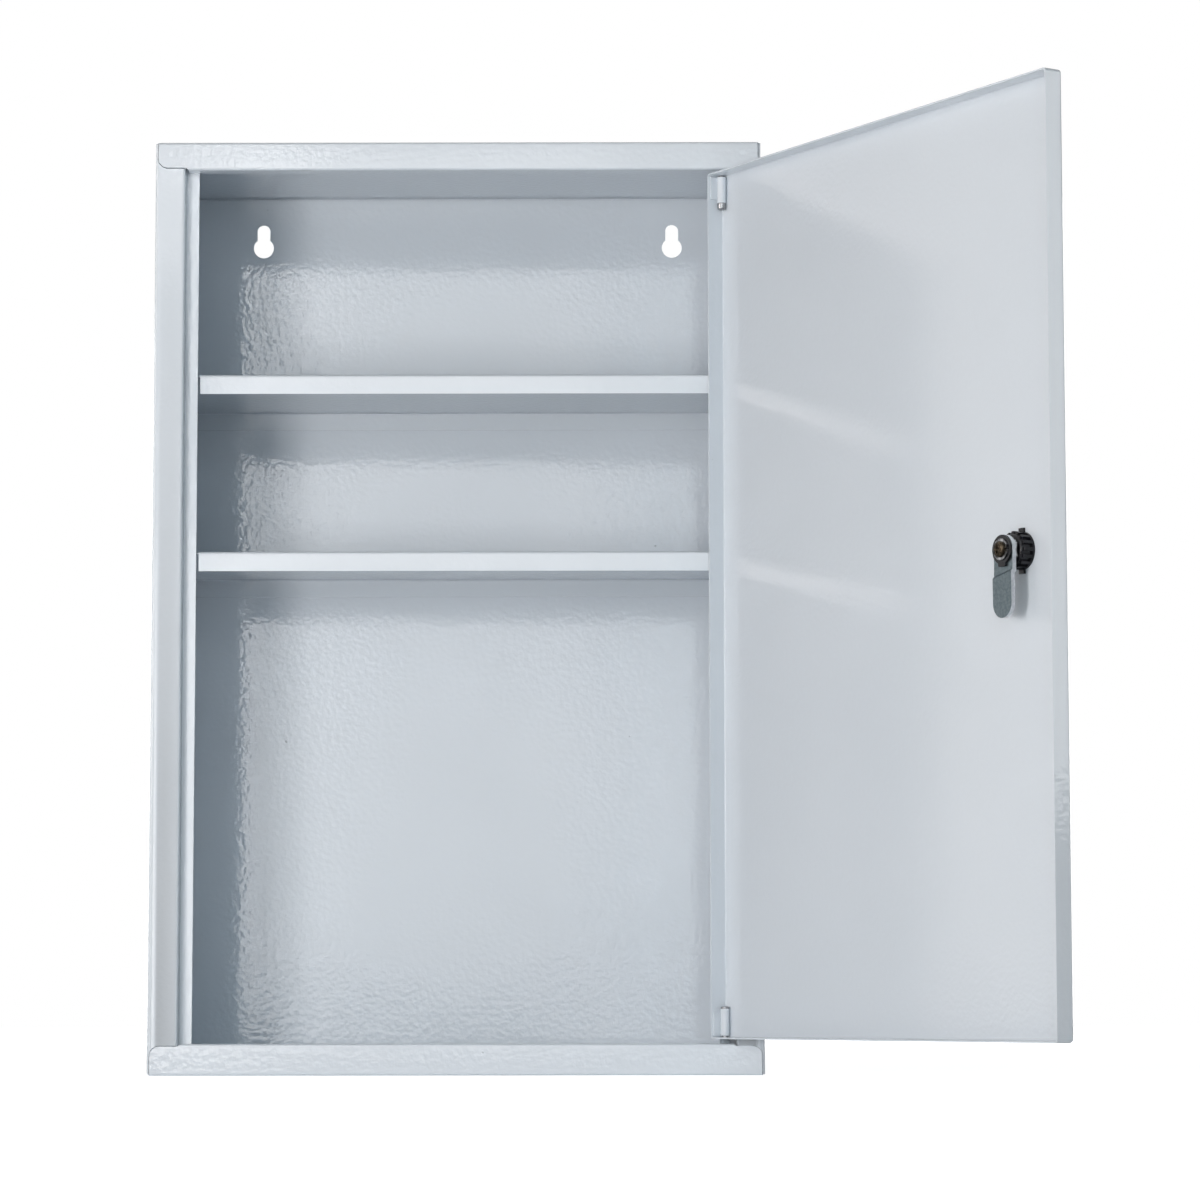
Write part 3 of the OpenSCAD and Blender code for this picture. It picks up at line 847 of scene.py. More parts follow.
@dataclass
class Carcass(SubAssembly):
    """The fixed box: two sides, top, bottom and back."""

    stop_width: float = 6.15
    stop_gap: float = 0.3
    hinge_stop: float = 11.0
    rear_flange: float = 12.0
    side_flange: float = 12.0
    ledge: float = 8.5
    tab_inset: float = 1.4
    tab_step: float = 1.2
    tab_radius: float = 4.7
    tab_round: float = 0.22
    seam: float = 0.3
    strip_gap: float = 0.5
    strip_width: float = 1.2
    inner_fold: float = 0.35
    groove: float = 0.35
    dimple_radius: float = 2.4
    dimple_depth: float = 0.05
    dimple_inset: float = 1.5
    keyhole_inset: float = 42.0
    keyhole_radius: float = 5.25
    keyhole_slot: float = 6.7
    keyhole_rise: float = 9.0
    back_play: float = 0.1
    back_edge: float = 0.12

    @property
    def lock_stop(self) -> float:
        """The y of the stop beside the lock."""
        return SIZES.door_flange + self.stop_gap

    @property
    def stop_edge(self) -> float:
        """Half the width between the two stops."""
        return SIZES.half - SIZES.lock_lip - self.stop_width

    def build(self) -> None:
        """Builds the five panels."""
        paint = Finishes.PAINT
        self.done(self.side_panel("left_side", False), paint, "left_side_panel")
        self.done(self.side_panel("right_side", True), paint, "right_side_panel")
        self.done(self.end_pan("bottom_pan", False), paint, "bottom_panel")
        self.done(self.end_pan("top_pan", True), paint, "top_panel")
        self.done(self.back(), paint, "back_panel")

    def side_panel(self, name: str, hinge_side: bool) -> Workpiece:
        """Models a side: wall, front lip, return, door stop and rear flange.

        Args:
            name: The piece's name.
            hinge_side: Whether it is the side with the hinges.

        Returns:
            The piece, before it is placed.
        """
        lip = SIZES.hinge_lip if hinge_side else SIZES.lock_lip
        stop_y = self.hinge_stop if hinge_side else self.lock_stop
        outer = -SIZES.half
        inner = outer + lip
        reach = -self.stop_edge - inner
        front, radius = SIZES.sheet, SIZES.fold_outside
        low, high = radius, SIZES.height - radius
        piece = Workpiece.sheet(name, Facing.LEFT, (outer, front, low), (outer, SIZES.depth, high))
        piece.edges(lambda p: near(p.y, SIZES.depth), "z").pull((self.rear_flange, 0, 0))
        piece.edges(lambda p: near(p.x, outer) and near(p.y, front), "z")
        piece.pull((lip, 0, 0)).pull((0, stop_y - front, 0)).pull((reach, 0, 0))
        piece.edges(lambda p: near(p.x, outer) or near(p.x, inner) and near(p.y, front), "z")
        piece.fold(radius)
        piece.edges(lambda p: near(p.x, inner) and near(p.y, stop_y), "z").fold(self.inner_fold)
        strip = outer + self.strip_width
        for z, way in ((low, -1), (high, 1)):
            piece.edges(lambda p: near(p.z, z) and p.x < strip)
            piece.pull((0, 0, way * (radius - self.strip_gap)))
        middle = (outer, SIZES.depth / 2, SIZES.height / 2)
        piece.skin_faces(middle, (-1, 0, 0))
        if hinge_side:
            piece.whole().stretch((-1, 1, 1), (0, 0, 0))
            piece.skin_faces((-outer, *middle[1:]), (1, 0, 0))
        piece.thicken(SIZES.sheet)
        for at_top in (False, True):
            piece.cut(self.tab_groove(lip, hinge_side, at_top))
        return piece.soften(SIZES.sheet_edge)

    def tab_groove(self, lip: float, hinge_side: bool, at_top: bool) -> Workpiece:
        """Models the cutter for the fine groove that shows round a tab on a side's lip.

        Args:
            lip: The width of the side's lip.
            hinge_side: Whether it is the side with the hinges.
            at_top: Whether it is the top's tab.

        Returns:
            The cutter.
        """
        way = 1 if hinge_side else -1
        x = sorted((way * (SIZES.half - self.tab_inset + self.groove), way * (SIZES.half - lip - 1)))
        edge = x[1] if hinge_side else x[0]
        reach = (SIZES.top_lip if at_top else SIZES.bottom_lip) - self.tab_step + self.groove
        end = SIZES.height - reach if at_top else reach
        z = sorted((end, SIZES.height + 1 if at_top else -1))
        deep = SIZES.sheet + SIZES.fold_outside
        cutter = Workpiece.block("tab_groove", (x[0], -1, z[0]), (x[1], deep, z[1]))
        cutter.edges(lambda p: near(p.x, edge) and near(p.z, end), "y")
        return cutter.fold(self.tab_radius + self.groove, 10)

    def end_pan(self, name: str, at_top: bool) -> Workpiece:
        """Models the bottom, or the top as its mirror image: plate, lip, ledge and flanges.

        Args:
            name: The piece's name.
            at_top: Whether it is the top.

        Returns:
            The piece, before it is placed.
        """
        lip = SIZES.top_lip if at_top else SIZES.bottom_lip
        tab_x, tab_z = SIZES.half - self.tab_inset, lip - self.tab_step
        left = -SIZES.half + SIZES.lock_lip + self.seam
        right = SIZES.half - SIZES.hinge_lip - self.seam
        inside = SIZES.half - SIZES.sheet
        front = SIZES.sheet + SIZES.fold_outside + self.seam
        back = SIZES.back_front - self.seam
        rear_x = SIZES.half - self.rear_flange - self.seam
        piece = Workpiece.sheet(name, Facing.FRONT, (-tab_x, 0, 0), (tab_x, 0, tab_z))
        piece.edges(lambda p: near(p.z, 0), "x").pull((0, SIZES.depth, 0))
        for x in (left, right, -rear_x, rear_x):
            piece.split((x, 0, 0), (1, 0, 0))
        for y in (front, back):
            piece.split((0, y, 0), (0, 1, 0))
        piece.edges(lambda p: near(p.z, tab_z) and left < p.x < right, "x")
        piece.pull((0, 0, self.tab_step))
        shrink = 1 - 2 * self.tab_step / (right - left)
        piece.stretch((shrink, 1, 1), ((left + right) / 2, 0, lip)).pull((0, self.ledge, 0))
        for side in (-1, 1):
            piece.corners(lambda p: p.x * side > tab_x - 0.1 and p.y > front - 0.1)
            piece.move((side * (inside - tab_x), 0, 0))
            piece.edges(lambda p: near(p.x, side * inside) and front < p.y < back, "y")
            piece.pull((0, 0, self.side_flange))
        rear: PlaceTest = lambda p: near(p.y, SIZES.depth) and abs(p.x) < rear_x
        piece.edges(rear, "x").pull((0, 0, self.rear_flange))
        for test, along in (
            (lambda p: near(p.z, 0) and near(p.y, 0), "x"),
            (lambda p: near(p.z, lip) and near(p.y, 0), "x"),
            (lambda p: near(p.z, 0) and near(abs(p.x), inside) and front < p.y < back, "y"),
            (lambda p: near(p.z, 0) and rear(p), "x"),
        ):
            piece.edges(test, along).fold(SIZES.fold_outside)
        piece.corners(lambda p: near(abs(p.x), tab_x) and near(p.y, 0) and near(p.z, tab_z))
        piece.round_corners(self.tab_radius, 10)
        piece.skin_faces((0, 0, lip / 2), (0, -1, 0))
        if at_top:
            piece.whole().stretch((1, 1, -1), (0, 0, SIZES.height / 2))
            piece.skin_faces((0, 0, SIZES.height - lip / 2), (0, -1, 0))
        piece.thicken(SIZES.sheet)
        mark_x = SIZES.half - SIZES.lock_lip / 2 - self.dimple_inset
        mark_z = SIZES.height - tab_z / 2 if at_top else tab_z / 2
        for side in (-1, 1):
            piece.cut(self.weld_mark().set_at((side * mark_x, 0, mark_z), FORWARDS))
        hole = Workpiece.rod("pin_hole", SIZES.pin_bore_loose, -CUTTER_REACH, CUTTER_REACH, 32)
        piece.cut(hole.set_at((*SIZES.pivot, SIZES.height - lip if at_top else lip)))
        return piece.soften(self.tab_round, 3)

    def weld_mark(self) -> Workpiece:
        """Models the shallow lens that a spot weld leaves pressed into a tab.

        Returns:
            The lens as a cutter, about the z axis.
        """
        r, d = self.dimple_radius, self.dimple_depth
        bowl = (r * r + d * d) / (2 * d)
        outline = [(r * 1.2, -0.5), (r * 1.2, -0.02)]
        for share in (0.85, 0.6, 0.35, 0.15):
            outline.append((r * share, math.sqrt(bowl**2 - (r * share) ** 2) - bowl + d))
        return Workpiece.turned("weld_mark", outline, 32)

    def back(self) -> Workpiece:
        """Models the flat back sheet with its two keyholes.

        Returns:
            The piece, before it is placed.
        """
        inset = SIZES.fold_outside + self.back_play
        x, y, top = SIZES.half - inset, SIZES.back_front, SIZES.height - inset
        piece = Workpiece.sheet("back_sheet", Facing.FRONT, (-x, y, inset), (x, y, top))
        corner = SIZES.half - self.rear_flange
        for side in (-1, 1):
            piece.split((side * corner, 0, 0), (1, 0, 0))
        for z, way in ((inset, -1), (top, 1)):
            piece.edges(lambda p: near(p.z, z) and abs(p.x) > corner, "x")
            piece.pull((0, 0, way * (inset - SIZES.sheet - self.back_play)))
        piece.skin_faces((0, y, SIZES.height / 2), (0, -1, 0)).thicken(SIZES.sheet)
        r, rise, deep = self.keyhole_slot / 2, self.keyhole_rise, CUTTER_REACH
        for side in (-1, 1):
            cutter = Workpiece.rod("keyhole", self.keyhole_radius, -deep, deep, 48)
            cutter.add(Workpiece.block("slot", (-r, -rise, -deep), (r, 0, deep)))
            cutter.add(Workpiece.rod("slot_end", r, -deep, deep, 48).set_at((0, -rise, 0)))
            at = (side * (SIZES.half - self.keyhole_inset), y, SIZES.height - SIZES.keyhole_drop)
            piece.cut(cutter.set_at(at, FORWARDS))
        return piece.soften(self.back_edge)


@dataclass
class Shelving(SubAssembly):
    """The two fixed shelves."""

    upper: float = 345.0
    lower: float = 256.7
    lip: float = 9.7
    front: float = 9.8
    wide_from: float = 13.05
    half_front: float = 127.85

    def build(self) -> None:
        """Builds the lower shelf and copies it for the upper one."""
        lower = self.shelf("lower_shelf_sheet", self.lower)
        upper = lower.copy("upper_shelf_sheet")
        upper.whole().move((0, 0, self.upper - self.lower))
        self.done(lower, Finishes.PAINT, "lower_shelf")
        self.done(upper, Finishes.PAINT, "upper_shelf")

    def shelf(self, name: str, top: float) -> Workpiece:
        """Models a shelf with its front, side and rear edges folded down.

        Args:
            name: The piece's name.
            top: The height of its top face.

        Returns:
            The piece, before it is placed.
        """
        wide, narrow = SIZES.half - SIZES.sheet, self.half_front
        front, rear = self.wide_from, SIZES.back_front
        piece = Workpiece.sheet(name, Facing.UP, (-wide, front, top), (wide, rear, top))
        for x in (-narrow, narrow):
            piece.split((x, 0, 0), (1, 0, 0))
        piece.edges(lambda p: near(p.y, front) and abs(p.x) < narrow, "x")
        piece.pull((0, self.front - front, 0)).pull((0, 0, -self.lip))
        piece.edges(lambda p: near(abs(p.x), wide), "y").pull((0, 0, -self.lip))
        piece.edges(lambda p: near(p.y, rear) and near(p.z, top), "x").pull((0, 0, -self.lip))
        piece.outwards()
        piece.edges(lambda p: near(p.z, top) and near(p.y, self.front), "x")
        piece.fold(SIZES.fold_outside)
        piece.edges(
            lambda p: near(p.z, top) and (near(p.y, rear) or near(abs(p.x), wide))
            or near(p.y, rear) and near(abs(p.x), wide)
        ).fold(SIZES.fold_outside)
        piece.skin_faces((0, rear / 2, top), (0, 0, 1))
        return piece.thicken(SIZES.sheet).soften(SIZES.sheet_edge)


@dataclass
class DoorLeaf(SubAssembly):
    """The pan door with its hinge knuckles, pins and spacer."""

    body = "door"
    place = Places.door()
    knuckle_length: float = 12.9
    knuckle_gap: float = 0.03
    knuckle_round: float = 0.22
    leaf_width: float = 5.4
    leaf_thickness: float = 0.9
    leaf_shorter: float = 1.8
    pin_radius: float = 1.5
    pin_lead: float = 0.5
    head_radius: float = 2.1
    head_dome: float = 0.9
    upper_head: float = 3.4
    lower_head: float = 1.2
    upper_tip: float = 6.43
    lower_tip: float = 6.63
    spacer_radius: float = 2.6
    spacer_round: float = 0.25
    spacer_play: float = 0.1
    lock_x: float = -103.2
    lock_z: float = 233.3
    barrel_radius: float = 6.03
    barrel_flats: float = 5.33

    def build(self) -> None:
        """Builds the door, the hinges and the spacer."""
        self.done(self.pan(), Finishes.PAINT, "door_panel")
        inset = SIZES.fold_outside + self.knuckle_gap
        ends = (
            ("lower", SIZES.door_z[0] + inset, 1, self.lower_tip, self.lower_head),
            ("upper", SIZES.door_z[1] - inset, -1, self.upper_tip, self.upper_head),
        )
        for end, start, way, tip, head in ends:
            knuckle = self.knuckle(f"{end}_knuckle", start, way)
            self.done(knuckle, Finishes.PAINT, f"{end}_hinge_knuckle")
        for end, start, way, tip, head in ends:
            pin = self.pin(f"{end}_pin", start, way, tip, head)
            self.done(pin, Finishes.STEEL, f"{end}_hinge_pin")
        self.done(self.spacer(), Finishes.NYLON, "hinge_spacer")

    def pan(self) -> Workpiece:
        """Models the door as a tray with ground corners, pin holes and the lock's hole.

        Returns:
            The piece, before it is placed.
        """
        x, z, depth, deep = SIZES.door_x, SIZES.door_z, SIZES.door_flange, CUTTER_REACH
        piece = Workpiece.block("door_sheet", (x[0], 0, z[0]), (x[1], depth, z[1]))
        piece.pick(Pick.FACES, lambda p: near(p.y, depth))
        bpy.ops.mesh.delete(type="ONLY_FACE")
        at_side: PlaceTest = lambda p: near(p.x, x[0]) or near(p.x, x[1])
        at_end: PlaceTest = lambda p: near(p.z, z[0]) or near(p.z, z[1])
        piece.edges(lambda p: near(p.y, 0) or at_side(p) and at_end(p)).fold(SIZES.fold_outside)
        piece.skin_faces((sum(x) / 2, 0, sum(z) / 2), (0, -1, 0)).thicken(SIZES.sheet)
        for height in z:
            hole = Workpiece.rod("pin_hole", SIZES.pin_bore, -deep, deep, 32)
            piece.cut(hole.set_at((*SIZES.pivot, height)))
        barrel = Workpiece.rod("barrel_hole", self.barrel_radius, -deep, deep, 64)
        for side in (-1, 1):
            barrel.split((side * self.barrel_flats, 0, 0), (side, 0, 0), clear=True)
        piece.cut(barrel.set_at((self.lock_x, 0, self.lock_z), FORWARDS))
        return piece.soften(SIZES.sheet_edge)

    def knuckle(self, name: str, start: float, way: int) -> Workpiece:
        """Models a knuckle: a tube for the pin, with the leaf that is welded to the door.

        Args:
            name: The piece's name.
            start: The height of its end beside the door's flange.
            way: 1 if it points up from there, -1 if down.

        Returns:
            The piece, before it is placed.
        """
        x, y = SIZES.pivot
        low, high = sorted((0.0, way * self.knuckle_length))
        tube = Workpiece.rod(name, SIZES.knuckle_radius, low, high, 48)
        bore = Workpiece.rod("bore", SIZES.pin_bore, low - 1, high + 1, 48)
        low, high = sorted((0.0, way * (self.knuckle_length - self.leaf_shorter)))
        leaf_x = SIZES.door_x[1] - SIZES.sheet - self.leaf_thickness - x
        far = (leaf_x + self.leaf_thickness, self.leaf_width, high)
        tube.add(Workpiece.block("leaf", (leaf_x, 0, low), far))
        return tube.cut(bore).soften(self.knuckle_round, 3).whole().move((x, y, start))

    def pin(self, name: str, start: float, way: int, tip: float, head: float) -> Workpiece:
        """Models a headed hinge pin.

        Args:
            name: The piece's name.
            start: The height of its knuckle's end beside the door's flange.
            way: 1 if the head is above, -1 if below.
            tip: How far the pin runs past that end.
            head: The head's height.

        Returns:
            The piece, before it is placed.
        """
        low, top = self.knuckle_length, self.knuckle_length + head
        shank, r = self.pin_radius, self.head_radius
        dome = min(self.head_dome, head * 0.6)
        outline = [
            (shank - self.pin_lead, -tip), (shank, self.pin_lead - tip), (shank, low),
            (r - 0.1, low), (r, low + 0.15), (r, top - dome), (r - 0.14, top - 0.45 * dome),
            (r - 0.55, top - 0.08 * dome), (r - 1.1, top),
        ]
        piece = Workpiece.turned(name, outline, 48).whole()
        return piece.stretch((1, 1, way), (0, 0, 0)).move((*SIZES.pivot, start)).outwards()

    def spacer(self) -> Workpiece:
        """Models the spacer on the lower pin, under the door.

        Returns:
            The piece, before it is placed.
        """
        low, high = SIZES.bottom_lip + self.spacer_play, SIZES.door_z[0]
        ring = Workpiece.rod("spacer_ring", self.spacer_radius, low, high, 40)
        ring.cut(Workpiece.rod("bore", SIZES.pin_bore_loose, low - 1, high + 1, 40))
        return ring.soften(self.spacer_round, 3).whole().move((*SIZES.pivot, 0))


@dataclass
class LockPart(SubAssembly):
    """What the lock's fixed and turning parts share."""

    place: Matrix
    bezel_height: float = 2.2


@dataclass
class LockFixed(LockPart):
    """The part of the lock that is clamped to the door: housing, lugged washer and ring nut."""

    body = "door"
    bezel_radius: float = 9.2
    barrel_radius: float = 6.0
    barrel_flats: float = 5.3
    barrel_start: float = -0.2
    barrel_end: float = 9.9
    barrel_bore: float = 4.55
    face_bore: float = 5.35
    face_depth: float = 1.25
    thread_bore: float = 6.05
    washer: float = 1.2
    lug_reach: float = 10.2
    lug_width: float = 3.4
    nut_radius: float = 8.5
    nut_height: float = 5.9
    nut_ribs: int = 16
    rib_height: float = 1.1
    rib_width: float = 1.6
    rib_root: float = 0.6
    rib_short: float = 1.2
    rib_round: float = 0.18

    def build(self) -> None:
        """Builds the three pieces."""
        self.done(self.housing(), Finishes.NICKEL, "lock_housing")
        self.done(self.lug_washer(), Finishes.BLACK, "lock_lug_washer")
        self.done(self.ring_nut(), Finishes.BLACK, "lock_ring_nut")

    def housing(self) -> Workpiece:
        """Models the barrel with its two flats and its domed bezel.

        Returns:
            The piece, before it is placed.
        """
        start, end = self.barrel_start, self.barrel_end
        barrel = Workpiece.rod("lock_barrel", self.barrel_radius, start, end)
        for side in (-1, 1):
            barrel.split((side * self.barrel_flats, 0, 0), (side, 0, 0), clear=True)
        r, top = self.bezel_radius, -self.bezel_height
        barrel.add(Workpiece.turned("bezel", [
            (r - 1.3, top), (r - 0.7, top + 0.12), (r - 0.25, top + 0.5), (r, top + 1.1),
            (r, -0.15), (r - 0.15, 0),
        ]))
        low = top - CUTTER_REACH
        barrel.cut(Workpiece.rod("bore", self.barrel_bore, low, end + CUTTER_REACH))
        seat = Workpiece.rod("seat", self.face_bore, low, top + self.face_depth)
        return barrel.cut(seat).soften(0.15)

    def lug_washer(self) -> Workpiece:
        """Models the black washer with its two lugs.

        Returns:
            The piece, before it is placed.
        """
        low, high = SIZES.sheet, SIZES.sheet + self.washer
        disc = Workpiece.rod("lugged_washer", self.nut_radius, low, high)
        x, y = self.lug_width / 2, self.lug_reach
        disc.add(Workpiece.block("lugs", (-x, -y, low), (x, y, high)))
        disc.cut(Workpiece.rod("bore", self.thread_bore, low - 1, high + 1))
        return disc.soften(0.18)

    def ring_nut(self) -> Workpiece:
        """Models the ribbed nut: a bevelled ring with one rib, repeated round it.

        Returns:
            The piece, before it is placed.
        """
        low = SIZES.sheet + self.washer
        high = low + self.nut_height
        core = self.nut_radius - self.rib_height
        ring = Workpiece.turned("ribbed_nut", [
            (core, low), (core, high - 1.0), (core - 0.25, high - 0.5),
            (core - 0.75, high - 0.12), (core - 1.3, high),
        ])
        y = self.rib_width / 2
        far = (self.nut_radius, y, high - self.rib_short)
        rib = Workpiece.block("rib", (core - self.rib_root, -y, low), far)
        rib.edges(lambda p: near(p.x, self.nut_radius)).fold(self.rib_round, 3).whole()
        bpy.ops.mesh.spin(
            steps=self.nut_ribs, dupli=True, angle=2 * math.pi, use_auto_merge=False,
            center=(0, 0, 0), axis=(0, 0, 1),
        )
        ring.add(rib.outwards(0.001))
        ring.cut(Workpiece.rod("bore", self.thread_bore, low - 1, high + 1))
        return ring.soften(0.1)


@dataclass
class LockCam(LockPart):
    """The part of the lock that turns: plug, wafers, springs, cam, disc, washer and screw."""

    body = "lock_cam"
    plug_radius: float = 4.5
    face_radius: float = 5.3
    face_height: float = 1.2
    root: float = 10.0
    cam_thickness: float = 2.0
    cam_width: float = 13.2
    cam_reach: float = 30.3
    cam_round: float = 0.42
    step_at: float = 10.9
    step: float = 0.8
    step_slant_deg: float = 11.0
    edge_lean: float = 0.45
    drive: float = 3.1
    drive_play: float = 0.03
    keyway: Point = (0.9, 3.0, 6.85)
    tap_radius: float = 2.03
    tap_start: float = 7.6
    disc_radius: float = 6.5
    disc_height: float = 1.0
    disc_bore: float = 2.1
    tab_half: float = 2.5
    tab_reach: float = 7.6
    tab_round: float = 0.8
    washer_radius: float = 4.8
    washer_height: float = 0.7
    washer_split: Point = (5.5, 2.0, 0.25)
    head_radius: float = 3.6
    head_height: float = 1.9
    shank_radius: float = 2.0
    shank_length: float = 5.1
    thread_pitch: float = 0.5
    thread_depth: float = 0.22
    thread_ridges: int = 6
    recess_long: float = 2.6
    recess_wide: float = 0.75
    recess_depth: float = 1.3
    recess_taper: float = 0.55
    wafer_first: float = 1.6
    wafer_pitch: float = 1.5
    wafer_count: int = 4
    wafer_size: Point = (4.0, 7.4, 0.6)
    wafer_play: float = 0.1
    spring_length: float = 3.2
    spring_radius: float = 0.43
    spring_wire: float = 0.12
    spring_turns: int = 7
    spring_out: float = 0.75

    @property
    def disc_low(self) -> float:
        """Where the stop disc starts, on the cam."""
        return self.root + self.cam_thickness

    @property
    def washer_low(self) -> float:
        """Where the spring washer starts, on the disc."""
        return self.disc_low + self.disc_height

    def build(self) -> None:
        """Builds the seven pieces; the cam's side faces get a lighter metal finish as a painted
        highlight.
        """
        self.done(self.plug(), Finishes.NICKEL, "lock_plug")
        self.done(self.wafers(), Finishes.YELLOW_ZINC, "lock_wafers")
        self.done(self.springs(), Finishes.STEEL, "wafer_springs")
        arm = self.done(self.cam(), Finishes.ZINC, "cam_arm")
        # the cam's side faces take the lighter metal, a painted highlight
        arm.data.materials.append(Finishes.EDGE_HIGHLIGHT.value.material())
        axis = self.place.to_3x3().col[2].normalized()
        for face in arm.data.polygons:
            face.material_index = int(abs(face.normal.dot(axis)) < self.edge_lean)
        self.done(self.disc(), Finishes.BLACK, "cam_stop_disc")
        self.done(self.spring_washer(), Finishes.WASHER, "cam_spring_washer")
        self.done(self.screw(), Finishes.YELLOW_ZINC, "cam_screw")

    def plug(self) -> Workpiece:
        """Models the plug: face, body with wafer slots and keyway, and square drive.

        Returns:
            The piece, before it is placed.
        """
        r, f, d = self.plug_radius, self.face_radius, self.drive
        top, seat = -self.bezel_height, self.face_height - self.bezel_height
        shaft = Workpiece.turned("keyed_plug", [
            (f - 0.35, top), (f - 0.1, top + 0.1), (f, top + 0.35), (f, seat), (r, seat),
            (r, self.root),
        ])
        drive_end = self.disc_low - 0.05
        shaft.add(Workpiece.block("drive", (-d, -d, self.root - 0.3), (d, d, drive_end)))
        x, y, end = self.keyway
        shaft.cut(Workpiece.block("keyway", (-x, -y, top - 1), (x, y, end)))
        play = self.wafer_play
        x, half = self.wafer_size[0] / 2, self.wafer_size[2] / 2 + play
        for index in range(self.wafer_count):
            z = self.wafer_first + index * self.wafer_pitch
            low, high = z - half, z + half
            shaft.cut(Workpiece.block("slot", (-x - play, -5, low), (x + play, 5, high)))
            shaft.cut(Workpiece.block("pocket", (x - play, -2.5, low), (x + 1.6, 1.7, high)))
        tap_end = self.disc_low + CUTTER_REACH
        shaft.cut(Workpiece.rod("tapped_hole", self.tap_radius, self.tap_start, tap_end, 48))
        return shaft.soften(0.08, 1)

    def wafers(self) -> Workpiece:
        """Models one wafer with its window and spring ledge, and copies it along the plug.

        Returns:
            The four wafers as one piece, before it is placed.
        """
        x, y, half = (length / 2 for length in self.wafer_size)
        z = self.wafer_first
        low, high = z - half, z + half
        first = Workpiece.block("plug_wafers", (-x, -y, low), (x, y, high))
        first.edges(lambda p: near(abs(p.x), x) and near(abs(p.y), y), "z").fold(0.6, 4)
        first.add(Workpiece.block("ledge", (x - 0.1, -2.4, low), (x + 1.5, -1.6, high)))
        first.cut(Workpiece.block("window", (-1.0, -1.7, z - 1), (1.0, 1.7, z + 1)))
        return self.repeat(first.soften(0.06, 1))

    def springs(self) -> Workpiece:
        """Models one coil spring, and copies it along the plug.

        Returns:
            The four springs as one piece, before it is placed.
        """
        clear_bench()
        middle = (self.spring_radius - self.spring_wire, 0, 0)
        bpy.ops.mesh.primitive_circle_add(
            vertices=6, radius=self.spring_wire, fill_type="NOTHING", location=middle
        )
        upright = {"value": math.pi / 2, "orient_axis": "X", "center_override": (0, 0, 0)}
        coil = Workpiece("wafer_coils").whole()
        bpy.ops.transform.rotate(**upright)
        length = self.spring_length - 2 * self.spring_wire
        steps = 14 * self.spring_turns
        coil.apply(
            "SCREW", axis="Z", angle=2 * math.pi * self.spring_turns, steps=steps,
            render_steps=steps, screw_offset=length, use_merge_vertices=False,
        )
        coil.edges(lambda p: True)
        bpy.ops.mesh.select_all(action="DESELECT")
        bpy.ops.mesh.select_non_manifold()
        bpy.ops.mesh.edge_face_add()
        coil.outwards().move((0, 0, -length / 2))
        bpy.ops.transform.rotate(**upright)
        coil.move((self.wafer_size[0] / 2 + self.spring_out, 0, self.wafer_first))
        return self.repeat(coil)

    def repeat(self, first: Workpiece) -> Workpiece:
        """Copies a piece of the first wafer for the other wafers and joins the copies.

        Args:
            first: The piece at the first wafer.

        Returns:
            The joined piece.
        """
        name = first.body.name
        copies = [first.copy(f"{name}_{index}") for index in range(1, self.wafer_count)]
        for index, other in enumerate(copies, start=1):
            first.join(other.whole().move((0, 0, index * self.wafer_pitch)))
        return first

    def cam(self) -> Workpiece:
        """Models the stamped cam: rounded ends, a step across it and a square hole.

        Returns:
            The piece, before it is placed.
        """
        half, z = self.cam_width / 2, self.root
        far = (half, self.cam_reach, z)
        piece = Workpiece.sheet("stamped_cam", Facing.UP, (-half, -half, z), far)
        piece.corners(lambda p: True).round_corners(half - 0.001, 14)
        slant = math.radians(self.step_slant_deg)
        down = Vector((-math.sin(slant), math.cos(slant), 0))
        end = self.step_at + self.step
        for where in (self.step_at, end):
            piece.split(tuple(down * where), tuple(down))
        piece.corners(lambda p: p.dot(down) > end - 0.01).move((0, 0, self.step))
        piece.skin_faces((0, 20, z), (0, 0, -1)).thicken(self.cam_thickness)
        d = self.drive + self.drive_play
        piece.cut(Workpiece.block("square_hole", (-d, -d, z - 1), (d, d, z + CUTTER_REACH)))
        return piece.soften(self.cam_round, 4, 30)

    def disc(self) -> Workpiece:
        """Models the black disc with the tab that shows the cam's direction.

        Returns:
            The piece, before it is placed.
        """
        low, high = self.disc_low, self.washer_low
        disc = Workpiece.rod("pointer_disc", self.disc_radius, low, high, 72)
        x, y = self.tab_half, self.tab_reach
        tab = Workpiece.block("tab", (-x, 0, low), (x, y, high))
        tab.edges(lambda p: near(p.y, y), "z").fold(self.tab_round, 4)
        bore = Workpiece.rod("bore", self.disc_bore, low - 1, high + 1, 48)
        return disc.add(tab).cut(bore).soften(0.16)

    def spring_washer(self) -> Workpiece:
        """Models the split spring washer under the screw's head.

        Returns:
            The piece, before it is placed.
        """
        low, high = self.washer_low, self.washer_low + self.washer_height
        ring = Workpiece.rod("split_washer", self.washer_radius, low, high, 72)
        ring.cut(Workpiece.rod("bore", self.disc_bore, low - 1, high + 1, 48))
        outer, inner, half = self.washer_split
        ring.cut(Workpiece.block("split", (-outer, -half, low - 1), (-inner, half, high + 1)))
        return ring.soften(0.14)

